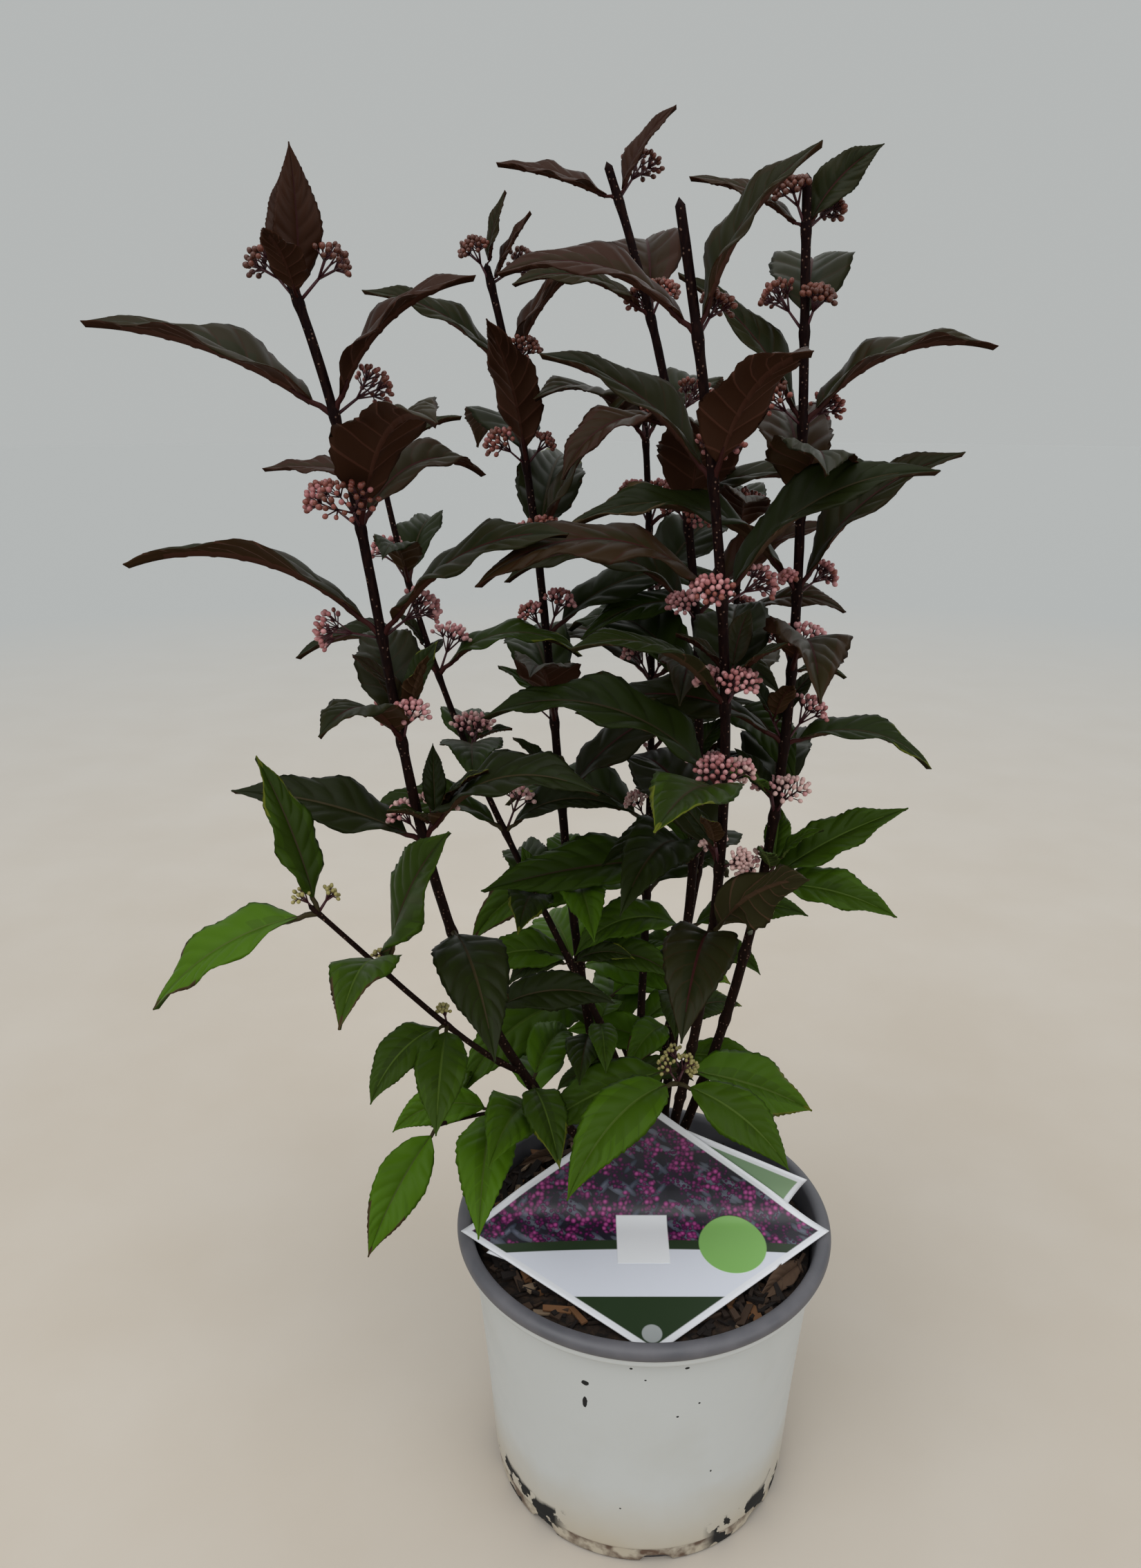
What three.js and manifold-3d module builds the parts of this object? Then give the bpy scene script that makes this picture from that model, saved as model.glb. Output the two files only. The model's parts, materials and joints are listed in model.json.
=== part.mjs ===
// A young beautyberry shrub in its nursery pot: upright shoots, paired leaves, berry clusters in the axils.
// Millimetres, +Z up. The pot stands on Z = 0 round the origin, and the front of the plant looks along -Y.
import * as THREE from "three";
import { mergeVertices } from "three/addons/utils/BufferGeometryUtils.js";
import Module from "manifold-3d";

const wasm = await Module();
wasm.setup();

const GAP = 0.3; // clearance between neighbouring pieces
const SLIVER = 0.15; // edges shorter than this are merged away
const SEED = 41;

// The nursery pot: outer radii of its wall at three heights, its rolled rim, and the notched foot ring.
const POT = {
  height: 134,
  footRadius: 69.5,
  footRound: 1.5,
  waistRadius: 73.5,
  waistHeight: 60,
  neckRadius: 79,
  rimRadius: 86,
  rimHeight: 13,
  rimRound: 2.6,
  lipRound: 1.8,
  throat: 4, // the bore narrows down to this far below the rim
  wall: 2,
  floor: 6,
  notches: 8,
  notchTurn: 11,
  notchWidth: 13,
  notchHeight: 5,
  notchDepth: 2.6,
  facets: 40,
};
const SOIL_TOP = 124;

// The shared root collar: its middle, its radii from foot to top, and the ring that the stems stand on.
const COLLAR = { x: 3, y: 27, height: 14, foot: 19, waist: 14.7, waistShare: 0.45, top: 13.5, ring: 9 };
const COLLAR_FACETS = 12;

// Two diamond picture cards lie over the rim by their side corners and lean on the stems at the back.
const CARD = {
  across: 83, // centre line to a side corner
  along: 62, // bend line to the front or back corner
  thick: 0.8,
  rest: 135.7, // height of the side corners on the rim
  bendLine: -17,
  frontSlope: 10.2,
  backSlope: 82,
  bendRadius: 16,
  rows: 11, // on each side of the bend line
  pitch: 6,
  blunt: 0.8, // cut off the front and back corners
};
const BACK_CARD = { turn: 13, drop: 1.2, shiftX: 2, shiftAlong: 6, size: 0.9 };

// Each shoot bends from the collar through a knee and a shoulder to its tip. Its leaf pairs sit between two
// shares of its length, each turned a quarter from the last, and facing is the way the topmost pair points.
// crownPairs is how many of them belong to the upper mass, vigour scales the leaves of a weak shoot, and aims
// are the tips of single leaves, by pair and side.
const SHOOTS = [
  {
    name: "left", knee: [-119, -37, 264], shoulder: [-85, -32, 421], tip: [-127, -40, 534], girth: 5,
    pairs: 7, lowest: 0.37, topmost: 0.965, crownPairs: 3, facing: 90,
    aims: {
      "0,0": [-136, -28, 566], "0,1": [-124, -64, 552], "1,0": [-199, -30, 517], "1,1": [-64, -44, 530],
      "2,0": [-66, 10, 464], "2,1": [-71, -110, 486], "3,0": [-193, -34, 436], "3,1": [-34, -62, 450],
      "4,0": [-116, 34, 400], "4,1": [-114, -95, 390], "5,0": [-165, -25, 348], "5,1": [-23, -62, 359],
      "6,1": [-60, -95, 271],
    },
  },
  {
    name: "right", knee: [67, -2, 310], shoulder: [57, 10, 414], tip: [48, -4, 566], girth: 5.2,
    pairs: 9, lowest: 0.34, topmost: 0.96, crownPairs: 4, facing: 0,
    aims: {
      "0,0": [71, 2, 580], "0,1": [8, 4, 566], "1,1": [42, -62, 548],
      "2,0": [122, 0, 510], "2,1": [6, 16, 536],
      "3,0": [46, -80, 470], "4,0": [110, 0, 477], "5,0": [78, 8, 385], "5,1": [48, -84, 398],
      "6,1": [115, 5, 347], "7,0": [108, 8, 329], "8,0": [101, -14, 289],
    },
  },
  {
    name: "front", knee: [26, -12, 264], shoulder: [38, -46, 354], tip: [-1, -64, 550], girth: 5,
    pairs: 7, lowest: 0.41, topmost: 0.93, crownPairs: 3, facing: 180,
    aims: {
      "0,0": [-45, -62, 551], "0,1": [37, -66, 567], "1,0": [-25, -44, 526], "1,1": [31, -104, 514],
      "2,0": [-65, -60, 438], "2,1": [80, -56, 480], "3,1": [-34, -78, 415], "4,1": [-8, -118, 366],
      "5,0": [24, -96, 322], "6,0": [30, -60, 262],
    },
  },
  {
    name: "middle", knee: [18, 34, 260], shoulder: [46, 42, 400], tip: [-20, 42, 577], girth: 5,
    pairs: 8, lowest: 0.4, topmost: 0.975, crownPairs: 4, facing: 0,
    aims: {
      "0,0": [6, 42, 596], "0,1": [-62, 44, 577], "1,1": [-56, 30, 533], "2,1": [-37, 10, 462],
      "4,0": [80, 62, 440],
      "6,1": [6, -24, 229], "7,1": [-72, 6, 292],
    },
  },
  {
    name: "back_left", knee: [-47, 17, 266], shoulder: [-33, 80, 408], tip: [-69, 78, 545], girth: 4.8,
    pairs: 7, lowest: 0.45, topmost: 0.98, crownPairs: 3, facing: 0,
    aims: {
      "0,0": [-62, 78, 569], "0,1": [-90, 74, 566], "1,0": [-120, 70, 534], "1,1": [-28, 74, 555],
      "2,0": [-80, 150, 468], "2,1": [-66, 30, 521], "3,0": [-6, 62, 496],
    },
  },
  {
    name: "far_left", knee: [2, 5, 225], shoulder: [-92, 53, 309], tip: [-114, 50, 474], girth: 3.8,
    vigour: 0.66, pairs: 6, lowest: 0.5, topmost: 0.97, crownPairs: 3, facing: 0,
    aims: { "0,0": [-80, 50, 487], "0,1": [-162, 50, 464] },
  },
  {
    name: "back", knee: [2, 52, 240], shoulder: [10, 94, 350], tip: [0, 106, 484], girth: 4.4,
    pairs: 7, lowest: 0.4, topmost: 0.97, crownPairs: 3, facing: 45, aims: {},
  },
  {
    name: "back_right", knee: [16, 48, 230], shoulder: [44, 84, 330], tip: [44, 88, 440], girth: 4,
    vigour: 0.8, pairs: 5, lowest: 0.48, topmost: 0.97, crownPairs: 2, facing: 70, aims: { "1,1": [88, 60, 402] },
  },
];

// Thin low branches: each leaves its parent shoot at a share of that shoot's length.
const BRANCHES = [
  {
    name: "low_left", parent: "left", leaves: 0.19, knee: [-74, -34, 236], shoulder: [-104, -46, 280],
    tip: [-131, -56, 314], girth: 3, pairs: 3, lowest: 0.42, topmost: 0.96, facing: 0,
    aims: {
      "0,0": [-147, -50, 370], "0,1": [-192, -60, 272], "1,0": [-76, -72, 349], "1,1": [-116, -86, 279],
      "2,0": [-84, -80, 230], "2,1": [-111, -64, 233],
    },
  },
  {
    name: "rim_left", parent: "left", leaves: 0.1, knee: [-40, 12, 184], shoulder: [-64, 6, 186],
    tip: [-96, -8, 184], girth: 2.6, pairs: 3, lowest: 0.4, topmost: 0.96, facing: 90,
    aims: {
      "0,1": [-120, -44, 144], "1,0": [-114, -2, 177], "1,1": [-71, -62, 168], "2,0": [-66, -52, 207],
    },
  },
  {
    name: "rim_front", parent: "front", leaves: 0.2, knee: [16, 6, 212], shoulder: [14, -6, 212],
    tip: [12, -20, 213], girth: 2.6, pairs: 2, lowest: 0.62, topmost: 0.95, facing: 0, budded: true,
    aims: { "0,0": [57, -44, 188], "0,1": [-35, -66, 190], "1,0": [75, 26, 176], "1,1": [-48, -20, 190] },
  },
  {
    name: "rim_back", parent: "back", leaves: 0.12, knee: [-4, 60, 180], shoulder: [-16, 78, 196],
    tip: [-34, 92, 214], girth: 2.6, pairs: 3, lowest: 0.4, topmost: 0.95, facing: 120, aims: {},
  },
];

// Leaf sizes and set change with height, from the lowest leaves to the highest.
const CROWN = { low: 190, high: 545 };
const LEAF = {
  length: [88, 104, 92],
  young: 0.8, // size of the topmost pair
  widthShare: 0.165, // half of the blade's width over its length
  lift: [30, 52, 68],
  droop: [-50, -28, -16],
  steepest: 76, // no aimed leaf sets out steeper than this, unless its aim is
  leastBend: 8,
  thickShare: 0.013,
  fold: 16, // how far each half of the blade is raised
  stations: [0, 0.1, 0.38, 0.72, 1],
  outline: [0.075, 0.09, 1, 0.76, 0],
};
const LEAF_SPREAD = { turn: 16, lift: 12, droop: 18, length: 0.12, breadth: 0.12, fold: 8, roll: 26 };
const CLUSTER = {
  above: 290, // no berries below this height, but for the budded low branch
  swing: 24, // away from the leaf of its axil
  lift: 58,
  size: 0.95,
  reach: 19,
  sides: 5,
  stations: [0, 0.5, 0.82, 1],
  radii: [0.5, 0.8, 8.6, 0],
  flatness: 0.72,
};
const CLUSTER_SPREAD = { turn: 20, lift: 10, size: 0.18 };
const STEM = { sides: 5, step: 19, tipGirth: 2, sunk: 4 };

// How a crowded leaf is turned and lifted, in degrees, till it is clear of its neighbours.
const NUDGES = [
  [0, 0], [4, 0], [-4, 0], [0, 4], [0, -4], [9, 0], [-9, 0], [0, 9], [0, -9], [20, 6], [-20, 6], [20, -8],
  [-20, -8], [0, 22], [32, 0], [-32, 0], [0, -22], [34, 16], [-34, 16], [34, -16], [-34, -16],
];
const SHORTER = [1, 0.86];
const ROOM = 0.7; // air kept round a leaf while it is set

const STILL = -1; // the owner of the pot, soil and cards
const COLLAR_TOP = SOIL_TOP + GAP + COLLAR.height;
const radians = THREE.MathUtils.degToRad;
const UP = new THREE.Vector3(0, 0, 1);
const DEPTH = new THREE.Vector3(0, 1, 0);

// A repeatable number from 0 to 1 for one leaf or cluster and one use of it.
function chance(shoot, pair, side, use) {
  let n = (SEED + shoot * 7919 + pair * 613 + side * 131 + use * 17) >>> 0;
  n = Math.imul(n ^ (n >>> 15), 2246822519) >>> 0;
  n = Math.imul(n ^ (n >>> 13), 3266489917) >>> 0;
  return ((n ^ (n >>> 16)) >>> 0) / 4294967296;
}

const wobble = (shoot, pair, side, use, size) => (2 * chance(shoot, pair, side, use) - 1) * size;

// A value given for the bottom, the middle and the top of the crown, at a height.
function byHeight([low, middle, high], z) {
  const share = THREE.MathUtils.clamp((z - CROWN.low) / (CROWN.high - CROWN.low), 0, 1) * 2;
  return share < 1 ? THREE.MathUtils.lerp(low, middle, share) : THREE.MathUtils.lerp(middle, high, share - 1);
}

function solid(geometry) {
  const bare = geometry.clone();
  bare.deleteAttribute("normal");
  bare.deleteAttribute("uv");
  const merged = mergeVertices(bare, 1e-4);
  return new wasm.Manifold(
    new wasm.Mesh({
      numProp: 3,
      vertProperties: new Float32Array(merged.attributes.position.array),
      triVerts: new Uint32Array(merged.index.array),
    }),
  );
}

// A profile of [radius, height] points turned round the vertical axis.
function turned(profile, facets) {
  const points = profile.map(([radius, z]) => new THREE.Vector2(radius, z));
  return new THREE.LatheGeometry(points, facets).rotateX(Math.PI / 2);
}

function geometryOf(body) {
  const mesh = body.getMesh();
  const geometry = new THREE.BufferGeometry();
  geometry.setAttribute("position", new THREE.BufferAttribute(new Float32Array(mesh.vertProperties), 3));
  geometry.setIndex(new THREE.BufferAttribute(new Uint32Array(mesh.triVerts), 1));
  geometry.computeVertexNormals();
  return geometry;
}

// Joins solids into one closed body, without the slivers and loose scraps that joining leaves.
function fused(parts) {
  const joined = parts.reduce((whole, part) => whole.add(part));
  const bodies = joined.decompose().sort((a, b) => b.volume() - a.volume());
  return bodies[0].simplify(SLIVER);
}

// Moves each vertex of a unit cylinder or cone to place(share of its height, x, z of its unit section).
function bent(geometry, taper, place) {
  const at = geometry.attributes.position;
  for (let i = 0; i < at.count; i++) {
    const along = at.getY(i) + 0.5;
    const radius = Math.max(1 - taper * along, 1e-6);
    const spot = place(along, at.getX(i) / radius, at.getZ(i) / radius);
    at.setXYZ(i, spot.x, spot.y, spot.z);
  }
  return geometry;
}

// A limb between two shares of its curve, tapering from its girth at the foot to a thin tip.
function limb(curve, girth, from, to, grow = 0) {
  const length = curve.getLength() * (to - from);
  const steps = Math.max(2, Math.round(length / STEM.step));
  return bent(new THREE.CylinderGeometry(1, 1, 1, STEM.sides, steps), 0, (along, x, z) => {
    const share = THREE.MathUtils.lerp(from, to, along);
    const ahead = curve.getTangent(share);
    const across = new THREE.Vector3().crossVectors(DEPTH, ahead).normalize();
    const out = new THREE.Vector3().crossVectors(across, ahead);
    const radius = THREE.MathUtils.lerp(girth, STEM.tipGirth, share) / 2 + grow;
    return curve.getPoint(share).addScaledVector(across, x * radius).addScaledVector(out, z * radius);
  });
}

// Where a leaf's midrib runs: it leaves at one lift and bends evenly to another.
function midrib(leaf, share) {
  const start = radians(leaf.lift);
  const bend = radians(leaf.droop - leaf.lift);
  const angle = start + bend * share;
  const run = (leaf.length * (Math.sin(angle) - Math.sin(start))) / bend;
  const rise = (leaf.length * (Math.cos(start) - Math.cos(angle))) / bend;
  const outward = new THREE.Vector3(Math.cos(radians(leaf.turn)), Math.sin(radians(leaf.turn)), 0);
  const level = new THREE.Vector3(outward.y, -outward.x, 0);
  const ahead = outward.clone().multiplyScalar(Math.cos(angle)).addScaledVector(UP, Math.sin(angle));
  const roll = radians(leaf.roll * share);
  const above = new THREE.Vector3().crossVectors(level, ahead);
  return {
    point: leaf.root.clone().addScaledVector(outward, run).addScaledVector(UP, rise),
    across: level.clone().multiplyScalar(Math.cos(roll)).addScaledVector(above, Math.sin(roll)),
    above: above.multiplyScalar(Math.cos(roll)).addScaledVector(level, -Math.sin(roll)),
  };
}

// The closed blade and its petiole, from a share of its length to the tip, swollen by grow.
function leafGeometry(leaf, from = 0, grow = 0) {
  const stations = LEAF.stations.filter((share) => share >= from);
  const widths = LEAF.outline.slice(LEAF.outline.length - stations.length);
  const steps = stations.length - 1;
  const fold = radians(leaf.fold);
  return bent(new THREE.ConeGeometry(1, 1, 4, steps), 1, (along, x, z) => {
    const ring = Math.round(along * steps);
    const { point, across, above } = midrib(leaf, stations[ring]);
    if (ring === steps) return point;
    const half = leaf.length * LEAF.widthShare * leaf.breadth * widths[ring] + grow;
    const thick = (leaf.length * LEAF.thickShare) / 2 + grow;
    const edge = Math.abs(x) * half * Math.sin(fold);
    return point.addScaledVector(across, x * half * Math.cos(fold)).addScaledVector(above, edge + z * thick);
  });
}

// A leaf whose tip is meant to reach a point takes its turn, lift and length from it.
function aimed(leaf, tip) {
  const reach = new THREE.Vector3(...tip).sub(leaf.root);
  const level = Math.hypot(reach.x, reach.y);
  const chord = THREE.MathUtils.radToDeg(Math.atan2(reach.z, level));
  const half = THREE.MathUtils.clamp(LEAF.steepest - chord, LEAF.leastBend, (leaf.lift - leaf.droop) / 2);
  const bend = radians(half);
  return {
    ...leaf,
    turn: THREE.MathUtils.radToDeg(Math.atan2(reach.y, reach.x)),
    lift: chord + half,
    droop: chord - half,
    length: (reach.length() * bend) / Math.sin(bend),
  };
}

// A berry cluster as one closed form: a thin stalk that opens into a broad, shallow head of berries.
function clusterGeometry(cluster, from = 0, grow = 0) {
  const { root, turn, lift, size } = cluster;
  const heading = new THREE.Vector3(0, 1, 0).applyAxisAngle(new THREE.Vector3(1, 0, 0), radians(lift));
  heading.applyAxisAngle(UP, radians(turn - 90));
  const broad = new THREE.Vector3().crossVectors(UP, heading).normalize();
  const deep = new THREE.Vector3().crossVectors(broad, heading);
  const stations = CLUSTER.stations.filter((share) => share >= from);
  const radii = CLUSTER.radii.slice(CLUSTER.radii.length - stations.length);
  const steps = stations.length - 1;
  return bent(new THREE.ConeGeometry(1, 1, CLUSTER.sides, steps), 1, (along, x, z) => {
    const ring = Math.round(along * steps);
    const radius = ring === steps ? 0 : radii[ring] * size + grow;
    return root
      .clone()
      .addScaledVector(heading, stations[ring] * CLUSTER.reach * size)
      .addScaledVector(broad, x * radius)
      .addScaledVector(deep, z * radius * CLUSTER.flatness);
  });
}

const boundsOf = (body) => {
  const box = body.boundingBox();
  return new THREE.Box3(new THREE.Vector3(...box.min), new THREE.Vector3(...box.max));
};

// What is already set: its shoot, its whole solid, and the solid that siblings on its own shoot must clear.
const settled = [];

function isClear(shoot, whole, outer) {
  const wholeBox = boundsOf(whole);
  const outerBox = boundsOf(outer);
  return settled.every((other) => {
    const own = other.shoot === shoot;
    const theirs = own ? other.outer : other.whole;
    if (!(own ? outerBox : wholeBox).intersectsBox(own ? other.outerBox : other.wholeBox)) return true;
    return (own ? outer : whole).intersect(theirs).isEmpty();
  });
}

function settle(shoot, whole, outer) {
  settled.push({ shoot, whole, outer, wholeBox: boundsOf(whole), outerBox: boundsOf(outer) });
}

// Sets a leaf at the first nudge that is clear, or leaves it out.
function setLeaf(shoot, leaf) {
  for (const shorter of SHORTER) {
    for (const [turn, lift] of NUDGES) {
      const tried = {
        ...leaf,
        turn: leaf.turn + turn,
        lift: leaf.lift + lift,
        droop: leaf.droop + lift,
        length: leaf.length * shorter,
      };
      const whole = solid(leafGeometry(tried, 0, ROOM));
      const outer = solid(leafGeometry(tried, LEAF.stations[1], ROOM));
      if (isClear(shoot, whole, outer)) {
        settle(shoot, whole, outer);
        return tried;
      }
    }
  }
  return null;
}

function setCluster(shoot, cluster) {
  for (const [turn, lift] of NUDGES) {
    const tried = { ...cluster, turn: cluster.turn + turn, lift: cluster.lift + lift };
    const whole = solid(clusterGeometry(tried, 0, ROOM / 2));
    const outer = solid(clusterGeometry(tried, CLUSTER.stations[1], ROOM / 2));
    if (isClear(shoot, whole, outer)) {
      settle(shoot, whole, outer);
      return tried;
    }
  }
  return null;
}

function curveOf(shoot, foot) {
  const points = [shoot.knee, shoot.shoulder, shoot.tip].map((spot) => new THREE.Vector3(...spot));
  return new THREE.CubicBezierCurve3(foot, ...points);
}

// The shoots stand in a ring on the collar, each on the side that it leans to.
const growing = SHOOTS.map((shoot, i) => {
  const lean = Math.atan2(shoot.knee[1] - COLLAR.y, shoot.knee[0] - COLLAR.x);
  return { ...shoot, index: i, lean };
});
[...growing]
  .sort((a, b) => a.lean - b.lean)
  .forEach((shoot, place, ring) => {
    const round = (place / ring.length) * 2 * Math.PI - Math.PI;
    const foot = new THREE.Vector3(COLLAR.ring, 0, COLLAR_TOP - STEM.sunk).applyAxisAngle(UP, round);
    shoot.curve = curveOf(shoot, foot.add(new THREE.Vector3(COLLAR.x, COLLAR.y, 0)));
  });
BRANCHES.forEach((branch, i) => {
  const parent = growing.find((shoot) => shoot.name === branch.parent);
  const curve = curveOf(branch, parent.curve.getPoint(branch.leaves));
  growing.push({ ...branch, index: SHOOTS.length + i, curve, stem: parent });
});

const pairShare = (shoot, pair) => THREE.MathUtils.lerp(shoot.topmost, shoot.lowest, pair / (shoot.pairs - 1));
const facing = (shoot, pair, side) => shoot.facing + pair * 90 + side * 180;

const potBody = potBodyOf();
const soilBody = solid(soilGeometry());
const cards = [solid(cardGeometry()), solid(cardGeometry(BACK_CARD))];
[potBody, soilBody, ...cards].forEach((body) => settle(STILL, body, body));
for (const shoot of growing) {
  const whole = solid(limb(shoot.curve, shoot.girth, 0, 1, GAP));
  settle(shoot.index, whole, whole);
}

// Every leaf that the shoots would carry, from the top of each down. Those with an aim are set first.
const buds = growing.flatMap((shoot) => {
  shoot.leaves = [];
  return Array.from({ length: shoot.pairs * 2 }, (_, i) => {
    const pair = Math.floor(i / 2);
    const side = i % 2;
    const id = [shoot.index, pair, side];
    const root = shoot.curve.getPoint(pairShare(shoot, pair));
    const vigour = (pair ? 1 : LEAF.young) * (shoot.vigour ?? 1);
    const plain = {
      root,
      turn: facing(shoot, pair, side) + wobble(...id, 0, LEAF_SPREAD.turn),
      lift: byHeight(LEAF.lift, root.z) + wobble(...id, 1, LEAF_SPREAD.lift),
      droop: byHeight(LEAF.droop, root.z) + wobble(...id, 2, LEAF_SPREAD.droop),
      length: byHeight(LEAF.length, root.z) * (1 + wobble(...id, 3, LEAF_SPREAD.length)) * vigour,
      breadth: 1 + wobble(...id, 4, LEAF_SPREAD.breadth),
      fold: LEAF.fold + wobble(...id, 5, LEAF_SPREAD.fold),
      roll: wobble(...id, 6, LEAF_SPREAD.roll),
      pair,
    };
    const aim = shoot.aims[`${pair},${side}`];
    return { shoot, aim, leaf: aim ? aimed(plain, aim) : plain };
  });
});
for (const wanted of [true, false]) {
  for (const { shoot, aim, leaf } of buds) {
    if (Boolean(aim) !== wanted) continue;
    const grown = setLeaf(shoot.index, leaf);
    if (grown) shoot.leaves.push(grown);
  }
}
for (const shoot of growing) {
  shoot.clusters = [];
  for (let pair = 0; pair < shoot.pairs; pair++) {
    const root = shoot.curve.getPoint(pairShare(shoot, pair));
    if (root.z < CLUSTER.above && !shoot.budded) continue;
    for (const side of [0, 1]) {
      const id = [shoot.index, pair, side];
      const cluster = setCluster(shoot.index, {
        root,
        turn: facing(shoot, pair, side) + CLUSTER.swing + wobble(...id, 7, CLUSTER_SPREAD.turn),
        lift: CLUSTER.lift + wobble(...id, 8, CLUSTER_SPREAD.lift),
        size: CLUSTER.size + wobble(...id, 9, CLUSTER_SPREAD.size),
        pair,
      });
      if (cluster) shoot.clusters.push(cluster);
    }
  }
}

const material = (color, roughness) => new THREE.MeshStandardMaterial({ color, roughness, metalness: 0 });
const bark = material(0x2a1a1f, 0.7);
const foliage = material(0x24401f, 0.6);
const purpleFoliage = material(0x33211f, 0.6);
const whitePlastic = material(0xdfe1e4, 0.45);
const peat = material(0x241a14, 0.95);
const card = material(0x5a4a5e, 0.4);
const paleCard = material(0xd9dbe2, 0.4);

const plant = new THREE.Group();
plant.name = "potted_beautyberry";

function add(name, geometry, finish) {
  const mesh = new THREE.Mesh(geometry, finish);
  mesh.name = name;
  plant.add(mesh);
}

// The wall, floor and rolled rim turned as one profile, with notches round the foot.
function potBodyOf() {
  const { height, footRadius, footRound, waistRadius, waistHeight, neckRadius, wall, floor } = POT;
  const { rimRadius, rimRound, lipRound, notchDepth, notchWidth, notchHeight } = POT;
  const under = height - POT.rimHeight;
  const profile = [
    [0, 0], [footRadius - footRound, 0], [footRadius, footRound], [waistRadius, waistHeight],
    [neckRadius, under], [rimRadius - rimRound / 2, under], [rimRadius, under + rimRound],
    [rimRadius, height - rimRound], [rimRadius - rimRound, height],
    [neckRadius + lipRound, height], [neckRadius, height - lipRound],
    [neckRadius - wall, under - POT.throat], [waistRadius - wall, waistHeight],
    [footRadius - wall, floor], [0, floor],
  ];
  let body = solid(turned(profile, POT.facets));
  for (let i = 0; i < POT.notches; i++) {
    const notch = new THREE.BoxGeometry(2 * notchDepth, notchWidth, 2 * notchHeight);
    notch.translate(footRadius, 0, 0).rotateZ((i / POT.notches) * 2 * Math.PI + radians(POT.notchTurn));
    body = body.subtract(solid(notch));
  }
  return body;
}

// The root ball's soil fills the pot to a finger below the rim.
function soilGeometry() {
  const { footRadius, waistRadius, waistHeight, neckRadius, wall, floor, height, rimHeight, throat } = POT;
  const inset = wall + GAP;
  const profile = [
    [0, floor + GAP], [footRadius - inset, floor + GAP], [waistRadius - inset, waistHeight],
    [neckRadius - inset, height - rimHeight - throat], [neckRadius - inset, SOIL_TOP], [0, SOIL_TOP],
  ];
  return turned(profile, POT.facets);
}

function collarGeometry() {
  const { x, y, height, foot, waist, waistShare, top } = COLLAR;
  const profile = [[0, 0], [foot, 0], [waist, height * waistShare], [top, height], [0, height]];
  return turned(profile, COLLAR_FACETS).translate(x, y, SOIL_TOP + GAP);
}

// The cards' shared section: a gentle front slope, a round bend, and a steeper back that leans on the stems.
function onCard(across, distance, below) {
  const front = radians(CARD.frontSlope);
  const turn = radians(CARD.backSlope - CARD.frontSlope);
  const arc = CARD.bendRadius * turn;
  const spot = new THREE.Vector3(across, CARD.bendLine, CARD.rest);
  const round = THREE.MathUtils.clamp(distance, 0, arc) / CARD.bendRadius;
  const slope = front + round;
  const straight = distance - THREE.MathUtils.clamp(distance, 0, arc);
  spot.y += CARD.bendRadius * (Math.sin(slope) - Math.sin(front)) + straight * Math.cos(slope);
  spot.z += CARD.bendRadius * (Math.cos(front) - Math.cos(slope)) + straight * Math.sin(slope);
  return spot.addScaledVector(new THREE.Vector3(0, Math.sin(slope), -Math.cos(slope)), below);
}

// A diamond sheet in strips across the bend. turn, in degrees, swings it round its middle.
function cardGeometry({ turn = 0, drop = 0, shiftX = 0, shiftAlong = 0, size = 1 } = {}) {
  const a = radians(turn);
  const corners = [[CARD.across, 0], [0, CARD.along], [-CARD.across, 0], [0, -CARD.along]].map(([x, y]) => [
    size * (x * Math.cos(a) - y * Math.sin(a)) + shiftX,
    size * (x * Math.sin(a) + y * Math.cos(a)) + shiftAlong,
  ]);
  const levels = corners.map(([, y]) => y);
  const lowest = Math.min(...levels) + CARD.blunt;
  const highest = Math.max(...levels) - CARD.blunt;
  const grid = Array.from({ length: 2 * CARD.rows + 1 }, (_, i) => (i - CARD.rows) * CARD.pitch);
  const rows = [...new Set([lowest, highest, ...levels, ...grid])]
    .filter((y) => y >= lowest && y <= highest)
    .sort((a, b) => a - b);
  const strips = rows.length - 1;
  const spanAt = (row) => {
    const hits = [];
    corners.forEach(([x, y], i) => {
      const [nextX, nextY] = corners[(i + 1) % corners.length];
      if ((y <= row && nextY > row) || (nextY <= row && y > row))
        hits.push(x + ((nextX - x) * (row - y)) / (nextY - y));
    });
    return [Math.min(...hits), Math.max(...hits)];
  };
  const sheet = new THREE.BoxGeometry(1, 1, 1, 1, strips, 1);
  const at = sheet.attributes.position;
  for (let i = 0; i < at.count; i++) {
    const row = rows[Math.round((at.getY(i) + 0.5) * strips)];
    const [left, right] = spanAt(row);
    const across = THREE.MathUtils.lerp(left, right, at.getX(i) + 0.5);
    const spot = onCard(across, row, drop + CARD.thick * (0.5 - at.getZ(i)));
    at.setXYZ(i, spot.x, spot.y, spot.z);
  }
  return sheet;
}

add("pot", geometryOf(potBody), whitePlastic);
add("soil", geometryOf(soilBody), peat);
add("root_collar", collarGeometry(), bark);
add("plant_card", geometryOf(cards[0]), card);
add("plant_card_back", geometryOf(cards[1]), paleCard);

// The stems are cut flat just above the collar that they stand on.
const [cutWidth, cutDepth] = [2 * COLLAR.foot, COLLAR.height];
const cut = new THREE.BoxGeometry(cutWidth, cutWidth, cutDepth);
const belowStems = solid(cut.translate(COLLAR.x, COLLAR.y, COLLAR_TOP + GAP - cutDepth / 2));

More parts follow.
